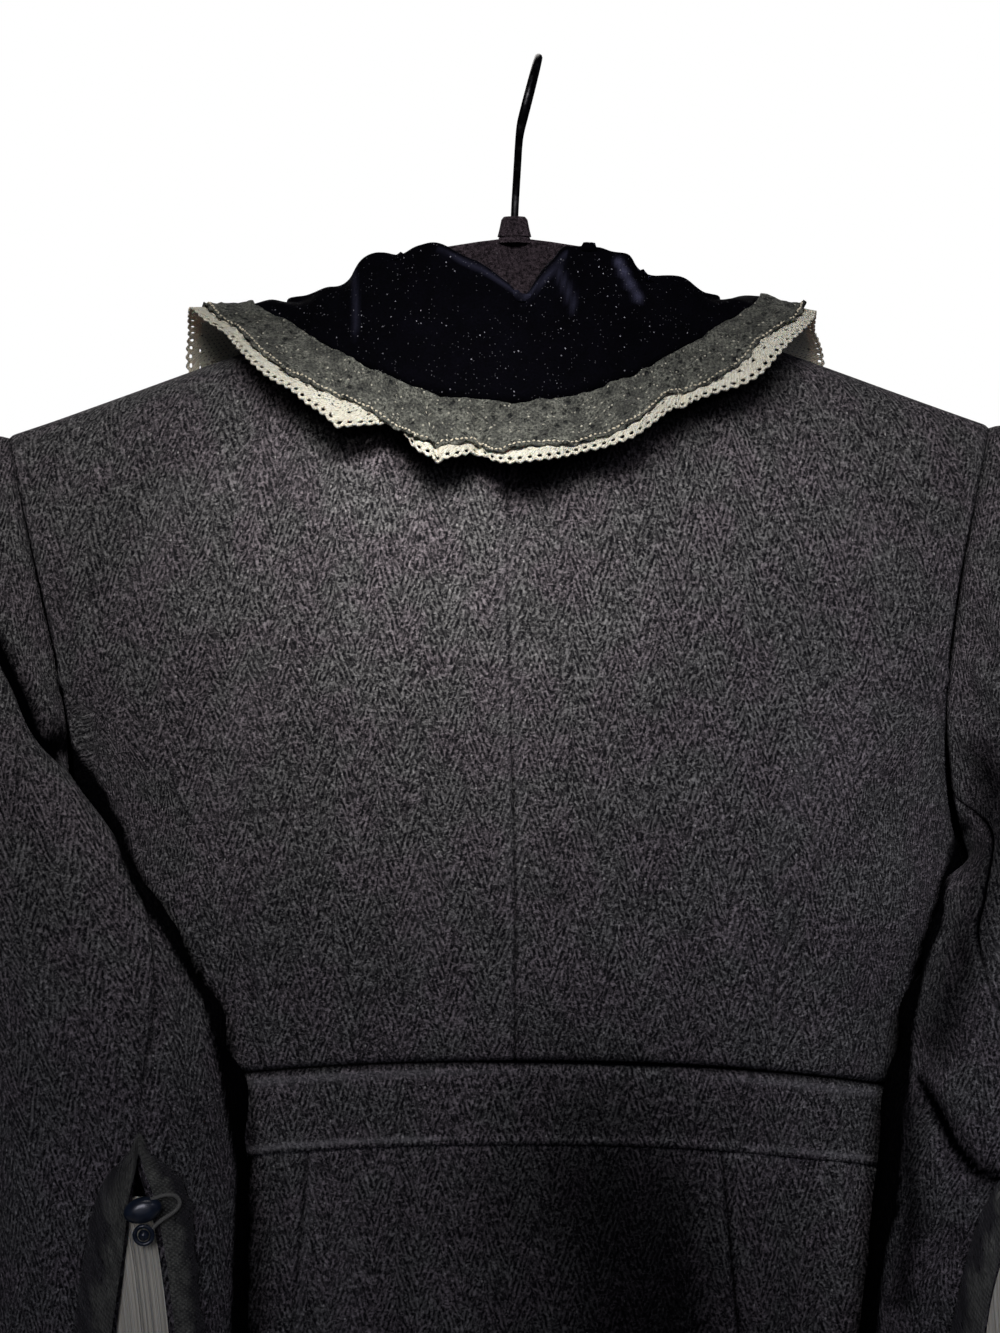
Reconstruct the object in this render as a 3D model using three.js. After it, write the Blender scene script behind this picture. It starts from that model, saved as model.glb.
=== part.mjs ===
// A fitted wool coat hanging on a flocked hanger. It has a rolled velvet collar edged with two
// gathered laces, a princess-seamed back, an inset waistband, a flared skirt, and sleeves whose
// back seams open into a lace vent.
//
// Millimetres, +Z up. The wearer faces -Y and the wearer's left is +X. Everything is drawn about
// the coat's centre plane, x = 0, with the hook's inside top at z = 0. The group is then moved
// sideways by the hook's lean, so that the origin is the inside top of the hook.
import * as THREE from "three";

// ---------------------------------------------------------------- driving dimensions
const WOOL = 2.0; // wall of the coat cloth
const VELVET = 2.2; // wall of the collar
const LACE = 1.0; // wall of a lace
const SEAM_GAP = 0.4; // between pieces at a seam
const ROUND = 2.3; // exponent of the body's section, 2 being an ellipse
const WAIST_CENTRE_BACK = -385.5; // height of the seam above the waistband
const WAIST_CENTRE_FRONT = -393;
const WAIST_SIDE = -397.5;
const BAND_WIDTH = 31; // waistband
const HEM = -988;
const SHOULDER_X = 187; // half of the shoulder width
const HANG = { top: -190, bottom: -330, shift: 3, stretch: 6 }; // the coat hangs a little to its left
const NECK_SIDE = 0.48; // place along the neckline where the shoulder seam meets it
const UNDERARM = -320;
const SHOULDER_DROP = 150; // height over which the body opens out below the shoulder seam
const SHOULDER_START = 78; // where the shoulder seam starts, beside the neck
const LAP = 20; // how far each front passes the centre
const LAP_LIFT = { top: 2.7, hem: 5.9, run: 260 }; // how far the upper front stands off the lower
const FLUTES = { count: 9, depth: 13 }; // soft folds round the skirt
const SLEEVE_HEM = -541;
const VENT_TOP = -416.5; // apex of the sleeve's vent
const BUTTON_RADIUS = 11; // the front buttons
const VENT_BUTTON_RADIUS = 7;
const VENT_BUTTON_DROP = 19.6; // below the apex of the vent
const VENT_BUTTON_STAND = 3.2; // from the lace to the back of the button
const BUTTON_STAND = 2.4; // from the cloth to the back of a button
const HOOK_WIRE = 1.55; // radius of the hook's wire
const HOOK_LOOP = 19.5; // radius of the loop's middle
const HOOK_LEAN = 9.4; // the loop leans this far to the wearer's right
const NECK_TOP = -60.5; // top of the hanger's neck
const NECK_FOOT = -68.2; // it stands on the hanger

// The body, by height: half width, and depth of the back and of the front.
const BODY = [
  { z: -988, half: 245, back: 84, front: 84 },
  { z: -700, half: 198, back: 64, front: 66 },
  { z: -560, half: 171, back: 54, front: 56 },
  { z: -480, half: 157, back: 48, front: 50 },
  { z: -420, half: 147, back: 44, front: 46 },
  { z: -392, half: 147, back: 44, front: 46 },
  { z: -354, half: 160, back: 51, front: 54 },
  { z: -320, half: 176, back: 56, front: 60 },
  { z: -254, half: 181, back: 57, front: 60 },
  { z: -204, half: 188, back: 55, front: 56 },
  { z: -143, half: 205, back: 50, front: 50 },
  { z: -60, half: 225, back: 48, front: 48 },
];

// The hanger's upper edge, and the height of its arm below it.
const HANGER = [
  { x: 0, top: -68.5, arm: 27 },
  { x: 28, top: -72.4, arm: 24 },
  { x: 49, top: -82, arm: 21 },
  { x: 62, top: -92, arm: 19 },
  { x: 74, top: -101.5, arm: 17 },
  { x: 88, top: -110, arm: 16 },
  { x: 104, top: -116.8, arm: 15 },
  { x: 120, top: -122.5, arm: 14 },
  { x: 160, top: -137, arm: 13 },
  { x: 187, top: -146.5, arm: 12 },
  { x: 260, top: -169.5, arm: 12 },
];
const HANGER_HALF = 190;
const HANGER_THICK = 5.6;
const HANGER_CLEAR = 2.8; // from the hanger's edge up to the middle of the cloth on it

// Distance of the armhole seam from the centre, by height.
const ARMHOLE = [
  { z: -320, x: 176 },
  { z: -312, x: 172.5 },
  { z: -289, x: 167 },
  { z: -262, x: 165.5 },
  { z: -235, x: 168.5 },
  { z: -200, x: 174.5 },
  { z: -166, x: 182 },
  { z: -143, x: 187 },
];

// Distance of the back's princess seam from the centre, by height. It ends in the armhole.
const PRINCESS_TOP = -244;
const PRINCESS = [
  { z: -400, x: 95 },
  { z: -350, x: 101 },
  { z: -322, x: 110 },
  { z: -300, x: 119 },
  { z: -280, x: 130 },
  { z: -257, x: 150 },
  { z: -244, x: 167.2 },
];
const SKIRT_SEAM_X = 79; // where the skirt's back seams meet the waistband

// Where the corner between two seam lines lies along one side of a panel, as a share of it.
const NECK_CORNER = { back: 0.42, front: 0.45 }; // between the neck and the shoulder seam
const ARMHOLE_CORNER = { back: 0.56, front: 0.33 }; // where the armhole starts

// The neck seam and the collar's outer edge, from centre back (0) to centre front (1). A drop is
// measured down from the shoulder line, positive on the back and negative on the front.
const COLLAR = [
  { t: 0.0, neckX: 0, neckDrop: 53, edgeX: 0, edgeDrop: 72, off: 8.5, roll: -86 },
  { t: 0.1, neckX: 21.5, neckDrop: 47, edgeX: 23, edgeDrop: 67, off: 8.5, roll: -85 },
  { t: 0.2, neckX: 42, neckDrop: 35, edgeX: 45, edgeDrop: 50, off: 8.5, roll: -84 },
  { t: 0.29, neckX: 57, neckDrop: 21, edgeX: 64, edgeDrop: 26, off: 10, roll: -88 },
  { t: 0.38, neckX: 69, neckDrop: 7, edgeX: 79, edgeDrop: 8, off: 13, roll: -92.5 },
  { t: 0.48, neckX: 76, neckDrop: 0, edgeX: 90, edgeDrop: 0, off: 17, roll: -93.5 },
  { t: 0.6, neckX: 74, neckDrop: -13, edgeX: 97, edgeDrop: -15, off: 15, roll: -96 },
  { t: 0.8, neckX: 49, neckDrop: -70, edgeX: 84, edgeDrop: -84, off: 8.5, roll: -130 },
  { t: 1.0, neckX: 5, neckDrop: -115, edgeX: 34, edgeDrop: -150, off: 8, roll: -175 },
  { t: 1.1, neckX: -LAP, neckDrop: -117, edgeX: 30, edgeDrop: -154, off: 8, roll: -178 },
];

const COLLAR_SKEW = 3.2; // the collar stands higher on the wearer's left by twice this

// Humps and dips of the collar's roll line: place across the back, half breadth, and rise.
const ROLL_WAVES = [
  { x: 33, breadth: 14, rise: 10.5 },
  { x: -29, breadth: 14, rise: 10.5 },
  { x: -3, breadth: 7, rise: -8.5 },
  { x: 52, breadth: 7, rise: 5.5 },
  { x: -63, breadth: 8, rise: 3.5 },
];

// Where the lace is drawn in, in places round the neck, the wearer's right being negative.
const LACE_NOTCHES = [
  -1.05, -0.93, -0.8, -0.65, -0.5, -0.275, -0.11, 0.04, 0.158, 0.41, 0.57, 0.72, 0.87, 1.05,
];

// Creases, drawn as seen from behind: both ends, half breadth, and depth.
const BACK_FOLDS = [
  { x1: -118, z1: -268, x2: -96, z2: -372, breadth: 9, depth: 1.8 },
  { x1: -84, z1: -300, x2: -72, z2: -376, breadth: 8, depth: 1.2 },
  { x1: 118, z1: -320, x2: 108, z2: -384, breadth: 9, depth: 1.5 },
  { x1: -108, z1: -430, x2: -121, z2: -540, breadth: 11, depth: 4.0 },
  { x1: 104, z1: -432, x2: 118, z2: -560, breadth: 12, depth: 3.0 },
];

// Each sleeve below its cap, by height: centre, and half width across and front to back.
const SLEEVES = {
  left: {
    side: 1,
    twist: 0,
    bulge: 10, // fullness of the underarm
    lip: 12, // how far it bulges over the body
    rings: [
      { z: -541, x: 150, y: 76, across: 49, deep: 37 },
      { z: -464, x: 149, y: 66, across: 48, deep: 38 },
      { z: -415, x: 152, y: 55, across: 49, deep: 42 },
      { z: -366, x: 160, y: 34, across: 50, deep: 48 },
      { z: -337, x: 169, y: 16, across: 50, deep: 56 },
    ],
    folds: [
      { x1: 198, z1: -224, x2: 164, z2: -276, breadth: 12, depth: 6 },
    ],
  },
  right: {
    side: -1,
    twist: -0.5,
    bulge: 30,
    lip: -13,
    rings: [
      { z: -541, x: 170, y: 68, across: 49, deep: 38 },
      { z: -464, x: 173, y: 60, across: 48, deep: 39 },
      { z: -415, x: 186, y: 48, across: 48, deep: 43 },
      { z: -380, x: 194, y: 34, across: 48, deep: 48 },
      { z: -337, x: 197, y: 16, across: 49, deep: 57 },
    ],
    folds: [
      { x1: 172, z1: -236, x2: 205, z2: -272, breadth: 14, depth: 6 },
      { x1: 150, z1: -386, x2: 186, z2: -420, breadth: 14, depth: 6 },
    ],
  },
};
const CAP_SHARE = 0.5; // of the sleeve's rows, those above its first ring
const BACK_SEAM = 1.82; // angle round the sleeve of its back seam, from the outside
const BACK_SEAM_TOP = 2.2; // the same at the armhole
const FRONT_SEAM = -1.75;
const LIP = { z: -296, height: 34, angle: 2.1, turn: 0.6 }; // where each sleeve bulges over the body
const VENT_SPREAD = 0.36; // how far each edge of the vent opens at the hem, in radians
const VENT_BAND = 0.27; // breadth of the lace on each edge of the vent
const VENT_STAND = 1.7; // from the wool to the lace on it
const INSERT_STAND = 1.3; // from the wool to the cream lace under it
const SLEEVE_GAP = 0.9; // between sleeve panels, whose edges bend sharply

// How a sleeve leaves the armhole, at the underarm and at the top of the shoulder.
const LEAVING = {
  start: { under: 3.4, top: 1.2 }, // from the seam to the sleeve's first row
  out: { under: 0.315, top: 0.9 }, // direction outwards and upwards
  up: { under: -0.9, top: 0.34 },
  pull: { under: 7, top: 34 }, // how long it keeps its direction
  arrival: 92, // the same where the top of the sleeve meets its first ring
};

// Front buttons, by height.
const FRONT_BUTTONS = [-214, -292, -362, -408, -500];

// ---------------------------------------------------------------- arithmetic
const mix = (a, b, t) => a + (b - a) * t;
const clamp = (t) => Math.min(Math.max(t, 0), 1);
const ease = (t) => clamp(t) ** 2 * (3 - 2 * clamp(t));
const bump = (distance, breadth) => Math.exp(-((distance / breadth) ** 2));
const steps = (count) => Array.from({ length: count + 1 }, (_, i) => i / count);

// A column of a table at one place, on a smooth curve that never overshoots its rows.
function read(rows, key, at, column) {
  const last = rows.length - 1;
  if (at <= rows[0][key]) return rows[0][column];
  if (at >= rows[last][key]) return rows[last][column];
  let i = 0;
  while (rows[i + 1][key] < at) i += 1;
  const span = (k) => rows[k + 1][key] - rows[k][key];
  const slope = (k) => (rows[k + 1][column] - rows[k][column]) / span(k);
  const tangent = (k) => {
    if (k === 0) return slope(0);
    if (k === last) return slope(last - 1);
    const before = slope(k - 1);
    const after = slope(k);
    return before * after <= 0 ? 0 : (2 * before * after) / (before + after);
  };
  const h = span(i);
  const s = (at - rows[i][key]) / h;
  const t = 1 - s;
  return (
    rows[i][column] * (1 + 2 * s) * t * t +
    rows[i + 1][column] * (1 + 2 * t) * s * s +
    h * s * t * (tangent(i) * t - tangent(i + 1) * s)
  );
}

// Depth of the creases at a point seen from behind.
function creaseDepth(folds, x, z) {
  return folds.reduce((sum, f) => {
    const dx = f.x2 - f.x1;
    const dz = f.z2 - f.z1;
    const along = clamp(((x - f.x1) * dx + (z - f.z1) * dz) / (dx * dx + dz * dz));
    const away = Math.hypot(x - f.x1 - along * dx, z - f.z1 - along * dz);
    return sum + f.depth * bump(away, f.breadth);
  }, 0);
}

// ---------------------------------------------------------------- walls
function solid(points, triangles) {
  let volume = 0;
  for (const [a, b, c] of triangles) {
    volume += points[a].dot(new THREE.Vector3().crossVectors(points[b], points[c]));
  }
  const faces = volume < 0 ? triangles.map(([a, b, c]) => [a, c, b]) : triangles;
  const geometry = new THREE.BufferGeometry().setFromPoints(points);
  geometry.setIndex(faces.flat());
  geometry.computeVertexNormals();
  return geometry;
}

// A sheet of cloth: point(u, v) is its middle, and the wall stands half its thickness each way.
// Its edges are drawn in by half a seam gap.
function wall(point, us, vs, thickness, gap = SEAM_GAP, runsOn = false) {
  const step = 1e-3;
  const tangent = (u, v, du, dv) => {
    const ahead = point(runsOn ? u + du : Math.min(u + du, us.at(-1)), Math.min(v + dv, vs.at(-1)));
    const behind = point(runsOn ? u - du : Math.max(u - du, us[0]), Math.max(v - dv, vs[0]));
    return ahead.sub(behind).normalize();
  };
  const outer = [];
  const inner = [];
  us.forEach((u, i) => {
    vs.forEach((v, j) => {
      const alongU = tangent(u, v, step, 0);
      const alongV = tangent(u, v, 0, step);
      const normal = new THREE.Vector3().crossVectors(alongU, alongV).normalize();
      const edgeU = (i === 0) - (i === us.length - 1);
      const edgeV = (j === 0) - (j === vs.length - 1);
      const middle = point(u, v)
        .addScaledVector(alongU, (edgeU * gap) / 2)
        .addScaledVector(alongV, (edgeV * gap) / 2);
      outer.push(middle.clone().addScaledVector(normal, thickness / 2));
      inner.push(middle.clone().addScaledVector(normal, -thickness / 2));
    });
  });
  const rows = us.length;
  const columns = vs.length;
  const under = rows * columns;
  const at = (i, j) => i * columns + j;
  const triangles = [];
  const quad = (a, b, c, d) => triangles.push([a, b, c], [a, c, d]);
  for (let i = 0; i < rows - 1; i += 1) {
    for (let j = 0; j < columns - 1; j += 1) {
      quad(at(i, j), at(i + 1, j), at(i + 1, j + 1), at(i, j + 1));
      quad(under + at(i, j), under + at(i, j + 1), under + at(i + 1, j + 1), under + at(i + 1, j));
    }
  }
  for (let i = 0; i < rows - 1; i += 1) {
    const far = columns - 1;
    quad(at(i, 0), under + at(i, 0), under + at(i + 1, 0), at(i + 1, 0));
    quad(at(i, far), at(i + 1, far), under + at(i + 1, far), under + at(i, far));
  }
  for (let j = 0; j < columns - 1; j += 1) {
    const far = rows - 1;
    quad(at(0, j), at(0, j + 1), under + at(0, j + 1), under + at(0, j));
    quad(at(far, j), under + at(far, j), under + at(far, j + 1), at(far, j + 1));
  }
  return solid([...outer, ...inner], triangles);
}

// ---------------------------------------------------------------- the body's form
const bodyAt = (z, column) => read(BODY, "z", z, column);
const hangerTop = (x) => read(HANGER, "x", Math.abs(x), "top");
const shoulderTop = (x) => hangerTop(x) + HANGER_CLEAR;

// How far round the body a point lies: 0 at centre back, 1 at the side, 2 at centre front.
function roundFromBack(x, z) {
  const share = Math.min(Math.abs(x) / bodyAt(z, "half"), 1);
  return (Math.asin(share ** (ROUND / 2)) * 2) / Math.PI;
}
const roundFromFront = (x, z) => 2 - Math.sign(x) * roundFromBack(x, z);

function waist(q) {
  const side = Math.sin((q * Math.PI) / 2) ** 2;
  const centre = Math.cos((q * Math.PI) / 2) >= 0 ? WAIST_CENTRE_BACK : WAIST_CENTRE_FRONT;
  return mix(centre, WAIST_SIDE, side);
}

// Soft vertical folds, which start under the waistband and are deepest at the hem.
function flute(q, z) {
  const start = WAIST_SIDE - BAND_WIDTH;
  const depth = FLUTES.depth * ease((start - z) / (start - HEM));
  const uneven = 0.6 * Math.sin(3.1 * q);
  return depth * Math.cos((q * FLUTES.count * Math.PI) / 2 + uneven);
}

// How far to its left the coat hangs from the hanger's middle.
function hang(x, z) {
  const whole = HANG.shift + (HANG.stretch * Math.max(x, 0)) / SHOULDER_X;
  return whole * ease((z - HANG.bottom) / (HANG.top - HANG.bottom));
}

// The middle of the body's cloth, moved out by lift.
function body(q, z, lift = 0) {
  const angle = (q * Math.PI) / 2;
  const across = Math.sin(angle);
  const deep = Math.cos(angle);
  const half = bodyAt(z, "half");
  const depth = bodyAt(z, deep >= 0 ? "back" : "front");
  const x = half * Math.sign(across) * Math.abs(across) ** (2 / ROUND);
  const drop = clamp((shoulderTop(x) - z) / SHOULDER_DROP);
  const open = (2 * drop - drop * drop) ** 0.55;
  const y = depth * Math.sign(deep) * Math.abs(deep) ** (2 / ROUND) * open;
  const outward = new THREE.Vector3(x / half ** 2, y / depth ** 2, 0);
  if (outward.lengthSq() > 0) outward.normalize();
  const out = lift + flute(q, z) - (deep > 0 ? creaseDepth(BACK_FOLDS, x, z) : 0);
  const aside = x + hang(x, z);
  const fall = (shoulderTop(aside) - shoulderTop(x)) * (1 - drop);
  return new THREE.Vector3(aside, y, z + fall).addScaledVector(outward, out);
}

// The body's cloth near the neck, by distance from the centre and signed drop.
function bodyAtDrop(x, drop) {
  const z = shoulderTop(x) - Math.abs(drop);
  return body(drop >= 0 ? Math.sign(x) * roundFromBack(x, z) : roundFromFront(x, z), z);
}

// ---------------------------------------------------------------- seam lines, as [round, height]
function armholeSeam(angle, front = false) {
  const top = shoulderTop(SHOULDER_X);
  const z = mix(top, UNDERARM, (1 - Math.cos(angle)) / 2);
  const x = angle === 0 ? SHOULDER_X : read(ARMHOLE, "z", z, "x");
  return [front ? roundFromFront(x, z) : roundFromBack(x, z), z];
}

const ARMHOLE_SPLIT = Math.acos(
  1 - (2 * (PRINCESS_TOP - shoulderTop(SHOULDER_X))) / (UNDERARM - shoulderTop(SHOULDER_X)),
);

function princessSeam(v) {
  const foot = waist(roundFromBack(PRINCESS[0].x, WAIST_CENTRE_BACK));
  const z = mix(foot, PRINCESS_TOP, v);
  return [roundFromBack(read(PRINCESS, "z", z, "x"), z), z];
}

function shoulderSeam(x, front = false) {
  const z = shoulderTop(x);
  return [front ? roundFromFront(x, z) : roundFromBack(x, z), z];
}

function neckSeam(t) {
  const x = read(COLLAR, "t", t, "neckX");
  const z = shoulderTop(x) - Math.abs(read(COLLAR, "t", t, "neckDrop"));
  return [t > NECK_SIDE ? roundFromFront(x, z) : roundFromBack(x, z), z];
}

const frontEdge = (z) => roundFromFront(-LAP, z);

// ---------------------------------------------------------------- panels of the bodice and skirt
// Fills in the cloth between four seam lines.
function fill(bottom, top, left, right) {
  const corners = [bottom(0), bottom(1), top(0), top(1)];
  return (u, v) =>
    [0, 1].map((k) => {
      const across = mix(bottom(u)[k], top(u)[k], v);
      const up = mix(left(v)[k], right(v)[k], u);
      const plain = mix(
        mix(corners[0][k], corners[1][k], u),
        mix(corners[2][k], corners[3][k], u),
        v,
      );
      return across + up - plain;
    });
}

// Two seam lines end to end, as one that changes over at the given share.
const joined = (first, second, share) => (t) =>
  t <= share ? first(t / share) : second((t - share) / (1 - share));

const princessFoot = princessSeam(0)[0];

const backPanel = fill(
  (u) => [u * princessFoot, waist(u * princessFoot)],
  joined(
    (t) => neckSeam(t * NECK_SIDE),
    (t) => shoulderSeam(mix(SHOULDER_START, SHOULDER_X, t)),
    NECK_CORNER.back,
  ),
  (v) => [0, mix(WAIST_CENTRE_BACK, neckSeam(0)[1], v)],
  joined(princessSeam, (t) => armholeSeam(ARMHOLE_SPLIT * (1 - t)), ARMHOLE_CORNER.back),
);

const sideBackPanel = fill(
  (u) => [mix(princessFoot, 1, u), waist(mix(princessFoot, 1, u))],
  (u) => armholeSeam(mix(ARMHOLE_SPLIT, Math.PI, u)),
  princessSeam,
  (v) => [1, mix(WAIST_SIDE, UNDERARM, v)],
);

const NECK_END = COLLAR.at(-1).t;
const frontPanel = fill(
  (u) => {
    const q = mix(1, frontEdge(WAIST_CENTRE_FRONT), u);
    return [q, waist(q)];
  },
  joined(
    (t) => shoulderSeam(mix(SHOULDER_X, SHOULDER_START, t), true),
    (t) => neckSeam(mix(NECK_SIDE + 1e-6, NECK_END, t)),
    NECK_CORNER.front,
  ),
  joined(
    (t) => [1, mix(WAIST_SIDE, UNDERARM, t)],
    (t) => armholeSeam(Math.PI * (1 - t), true),
    ARMHOLE_CORNER.front,
  ),
  (v) => {
    const z = mix(WAIST_CENTRE_FRONT, neckSeam(NECK_END)[1], v);
    return [frontEdge(z), z];
  },
);

// A strip between two lines round the body, such as the waistband or a skirt panel.
const strip = (from, to, top, bottom) => (u, v) => {
  const z = mix(top(0), bottom(0), v);
  const q = mix(from(z), to(z), u);
  return [q, mix(top(q), bottom(q), v)];
};

// The upper front stands off the lower one where the two lap; its own edge is at x = -LAP.
function lapLift(x, z) {
  const down = ease((WAIST_SIDE - BAND_WIDTH - z) / LAP_LIFT.run);
  return mix(LAP_LIFT.top, LAP_LIFT.hem, down) * ease((LAP + 30 - x) / 26);
}

// Rows are set closer where a sheet turns over the shoulder or round the side.
const closing = (count, power) => steps(count).map((t) => 1 - (1 - t) ** power);
const withKnots = (list, ...knots) => {
  const kept = list.filter((t) => knots.every((k) => Math.abs(t - k) > 0.4 / list.length));
  return [...kept, ...knots].sort((a, b) => a - b);
};

function bodyPiece(panel, side, us, vs, lapped = false) {
  const point = (u, v) => {
    const [q, z] = panel(u, v);
    return body(side * q, z, lapped ? lapLift(body(q, z).x, z) : 0);
  };
  return wall(point, us, vs, WOOL);
}

// ---------------------------------------------------------------- sleeves
function sleeveRing(sleeve, z, angle) {
  const ring = (column) => read(sleeve.rings, "z", z, column);
  const turned = angle + sleeve.twist * ease((RINGS_TOP - z) / 60);
  return new THREE.Vector3(
    ring("x") + ring("across") * Math.cos(turned),
    ring("y") + ring("deep") * Math.sin(turned),
    z,
  );
}

// Moves a point of a sleeve out to where it just clears the body. Sleeves are worked out on the
// wearer's left, and mirrored last.
function clearOfBody(p, side, share) {
  const near = ease((-200 - p.z) / 40) * share;
  const below = UNDERARM - p.z;
  const clearance = 3.9 + 3 * ease(below / 50) + 4 * ease((below - 120) / 110);
  const aside = side * hang(side * p.x, p.z);
  const across = p.x - aside;
  const depth = bodyAt(p.z, p.y > 0 ? "back" : "front");
  const inside =
    (Math.abs(across) / (bodyAt(p.z, "half") + clearance)) ** ROUND +
    (Math.abs(p.y) / (depth + clearance)) ** ROUND;
  if (inside >= 1) return p;
  const out = mix(1, inside ** (-1 / ROUND), near);
  return new THREE.Vector3(across * out + aside, p.y * out, p.z);
}

// The cap of a sleeve: a curve from the armhole to the sleeve's first ring, at one angle.
function sleeveCap(which, angle) {
  const round = Math.abs(angle) > Math.PI ? 2 * Math.PI - Math.abs(angle) : Math.abs(angle);
  const back = Math.sin(angle);
  const top = (1 + Math.cos(angle)) / 2;
  const between = (pair, share = top) => mix(pair.under, pair.top, share);
  const [q, z] = armholeSeam(round, back < 0);
  const seam = body(which.side * q, z);
  seam.x *= which.side;
  const leave = new THREE.Vector3(between(LEAVING.out), 0.45 * back, between(LEAVING.up));
  const stand = new THREE.Vector3(between(LEAVING.start, ease(top / 0.3)), 0.6 * back, 0.5 * top);
  const start = seam.add(stand);
  const end = sleeveRing(which, RINGS_TOP, angle);
  const rise = end.clone().sub(sleeveRing(which, RINGS_TOP - 4, angle)).normalize();
  return new THREE.CubicBezierCurve3(
    start,
    start.clone().addScaledVector(leave.normalize(), between(LEAVING.pull)),
    end.clone().addScaledVector(rise, mix(which.bulge, LEAVING.arrival, top)),
    end,
  );
}

// The middle of a sleeve's cloth: down from 0 at the armhole to 1 at the hem, and an angle from 0
// on the outside, through the back, to half a turn at the underarm.
function sleeve(which, down, angle) {
  let p;
  if (down < CAP_SHARE) {
    p = sleeveCap(which, angle).getPoint(down / CAP_SHARE);
  } else {
    const share = (down - CAP_SHARE) / (1 - CAP_SHARE);
    p = sleeveRing(which, mix(RINGS_TOP, SLEEVE_HEM, share), angle);
  }
  const backOfBody = which.rings.at(-1).y * ease((UNDERARM + 90 - p.z) / 90);
  if (p.y > backOfBody) p.y -= creaseDepth(which.folds, p.x, p.z);
  const lip = which.lip * bump(p.z - LIP.z, LIP.height) * bump(Math.abs(angle - LIP.angle), LIP.turn);
  p.x -= lip * ease(down / (0.6 * CAP_SHARE));
  p = clearOfBody(p, which.side, ease(down / (0.3 * CAP_SHARE)));
  p.x *= which.side;
  return p;
}

const RINGS_TOP = SLEEVES.left.rings.at(-1).z;
const downAt = (z) => CAP_SHARE + ((1 - CAP_SHARE) * (z - RINGS_TOP)) / (SLEEVE_HEM - RINGS_TOP);
const VENT_START = downAt(VENT_TOP);

// Angle of the back seam, and half of the vent's opening below it, by share down the sleeve.
const backSeam = (down) =>
  mix(BACK_SEAM_TOP, BACK_SEAM, ease((down - CAP_SHARE) / (VENT_START - CAP_SHARE)));
const ventSpread = (down) => VENT_SPREAD * clamp((down - VENT_START) / (1 - VENT_START)) ** 0.8;

const sleeveRows = withKnots(
  [...steps(7).map((t) => t * CAP_SHARE), ...steps(8).slice(1).map((t) => mix(CAP_SHARE, 1, t))],
  VENT_START,
);

function sleevePiece(which, from, to, columns) {
  const point = (u, v) => sleeve(which, v, mix(from(v), to(v), u));
  return wall(point, steps(columns), sleeveRows, WOOL, SLEEVE_GAP, true);
}
const topSleeve = (which) =>
  sleevePiece(which, () => FRONT_SEAM, (v) => backSeam(v) - ventSpread(v), 12);
const underSleeve = (which) =>
  sleevePiece(which, (v) => backSeam(v) + ventSpread(v), () => 2 * Math.PI + FRONT_SEAM, 10);

// A layer that follows the sleeve, moved out from it.
function onSleeve(which, down, angle, out) {
  const step = 0.01;
  const p = sleeve(which, down, angle);
  const across = sleeve(which, down, angle + step).sub(sleeve(which, down, angle - step));
  const along = sleeve(which, Math.min(down + step, 1), angle).sub(
    sleeve(which, Math.min(down + step, 1) - 2 * step, angle),
  );
  const normal = new THREE.Vector3().crossVectors(across, along).normalize();
  return p.addScaledVector(normal, -which.side * out);
}

// The dark lace lies on the wool round the vent, in one piece bent over its apex.
function ventLace(which) {
  const outerRise = 0.02; // how far the lace stands above the vent's apex
  const point = (u, v) => {
    const side = 2 * u - 1;
    const away = Math.abs(side); // 0 at the apex and 1 at the hem
    const down = mix(VENT_START - outerRise * v, 1, away ** 1.3);
    const ruffle = 1 + 0.1 * Math.sin(9 * side) * v;
    const edge = ventSpread(Math.max(down, VENT_START)) + 0.02;
    const angle = edge + v * VENT_BAND * ruffle * Math.min(1, 4 * away);
    const where = backSeam(down) + Math.sign(side) * angle * Math.min(1, 6 * away);
    return onSleeve(which, down, where, WOOL / 2 + LACE / 2 + VENT_STAND);
  };
  return wall(point, steps(20), steps(2), LACE);
}

// The cream lace fills the vent from the inside.
function ventInsert(which) {
  const tuck = 0.05; // how far its sides pass under the wool, in radians
  const start = VENT_START + 0.035; // a little below the apex
  const point = (u, v) => {
    const down = mix(start, 1, v);
    const where = backSeam(down) + (2 * u - 1) * (ventSpread(down) + tuck);
    return onSleeve(which, down, where, -(WOOL / 2 + LACE / 2 + INSERT_STAND));
  };
  return wall(point, steps(8), steps(6), LACE);
}

// ---------------------------------------------------------------- collar and its laces
const rollWave = (x) =>
  ROLL_WAVES.reduce((sum, w) => sum + w.rise * bump(x - w.x, w.breadth), 0);

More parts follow.
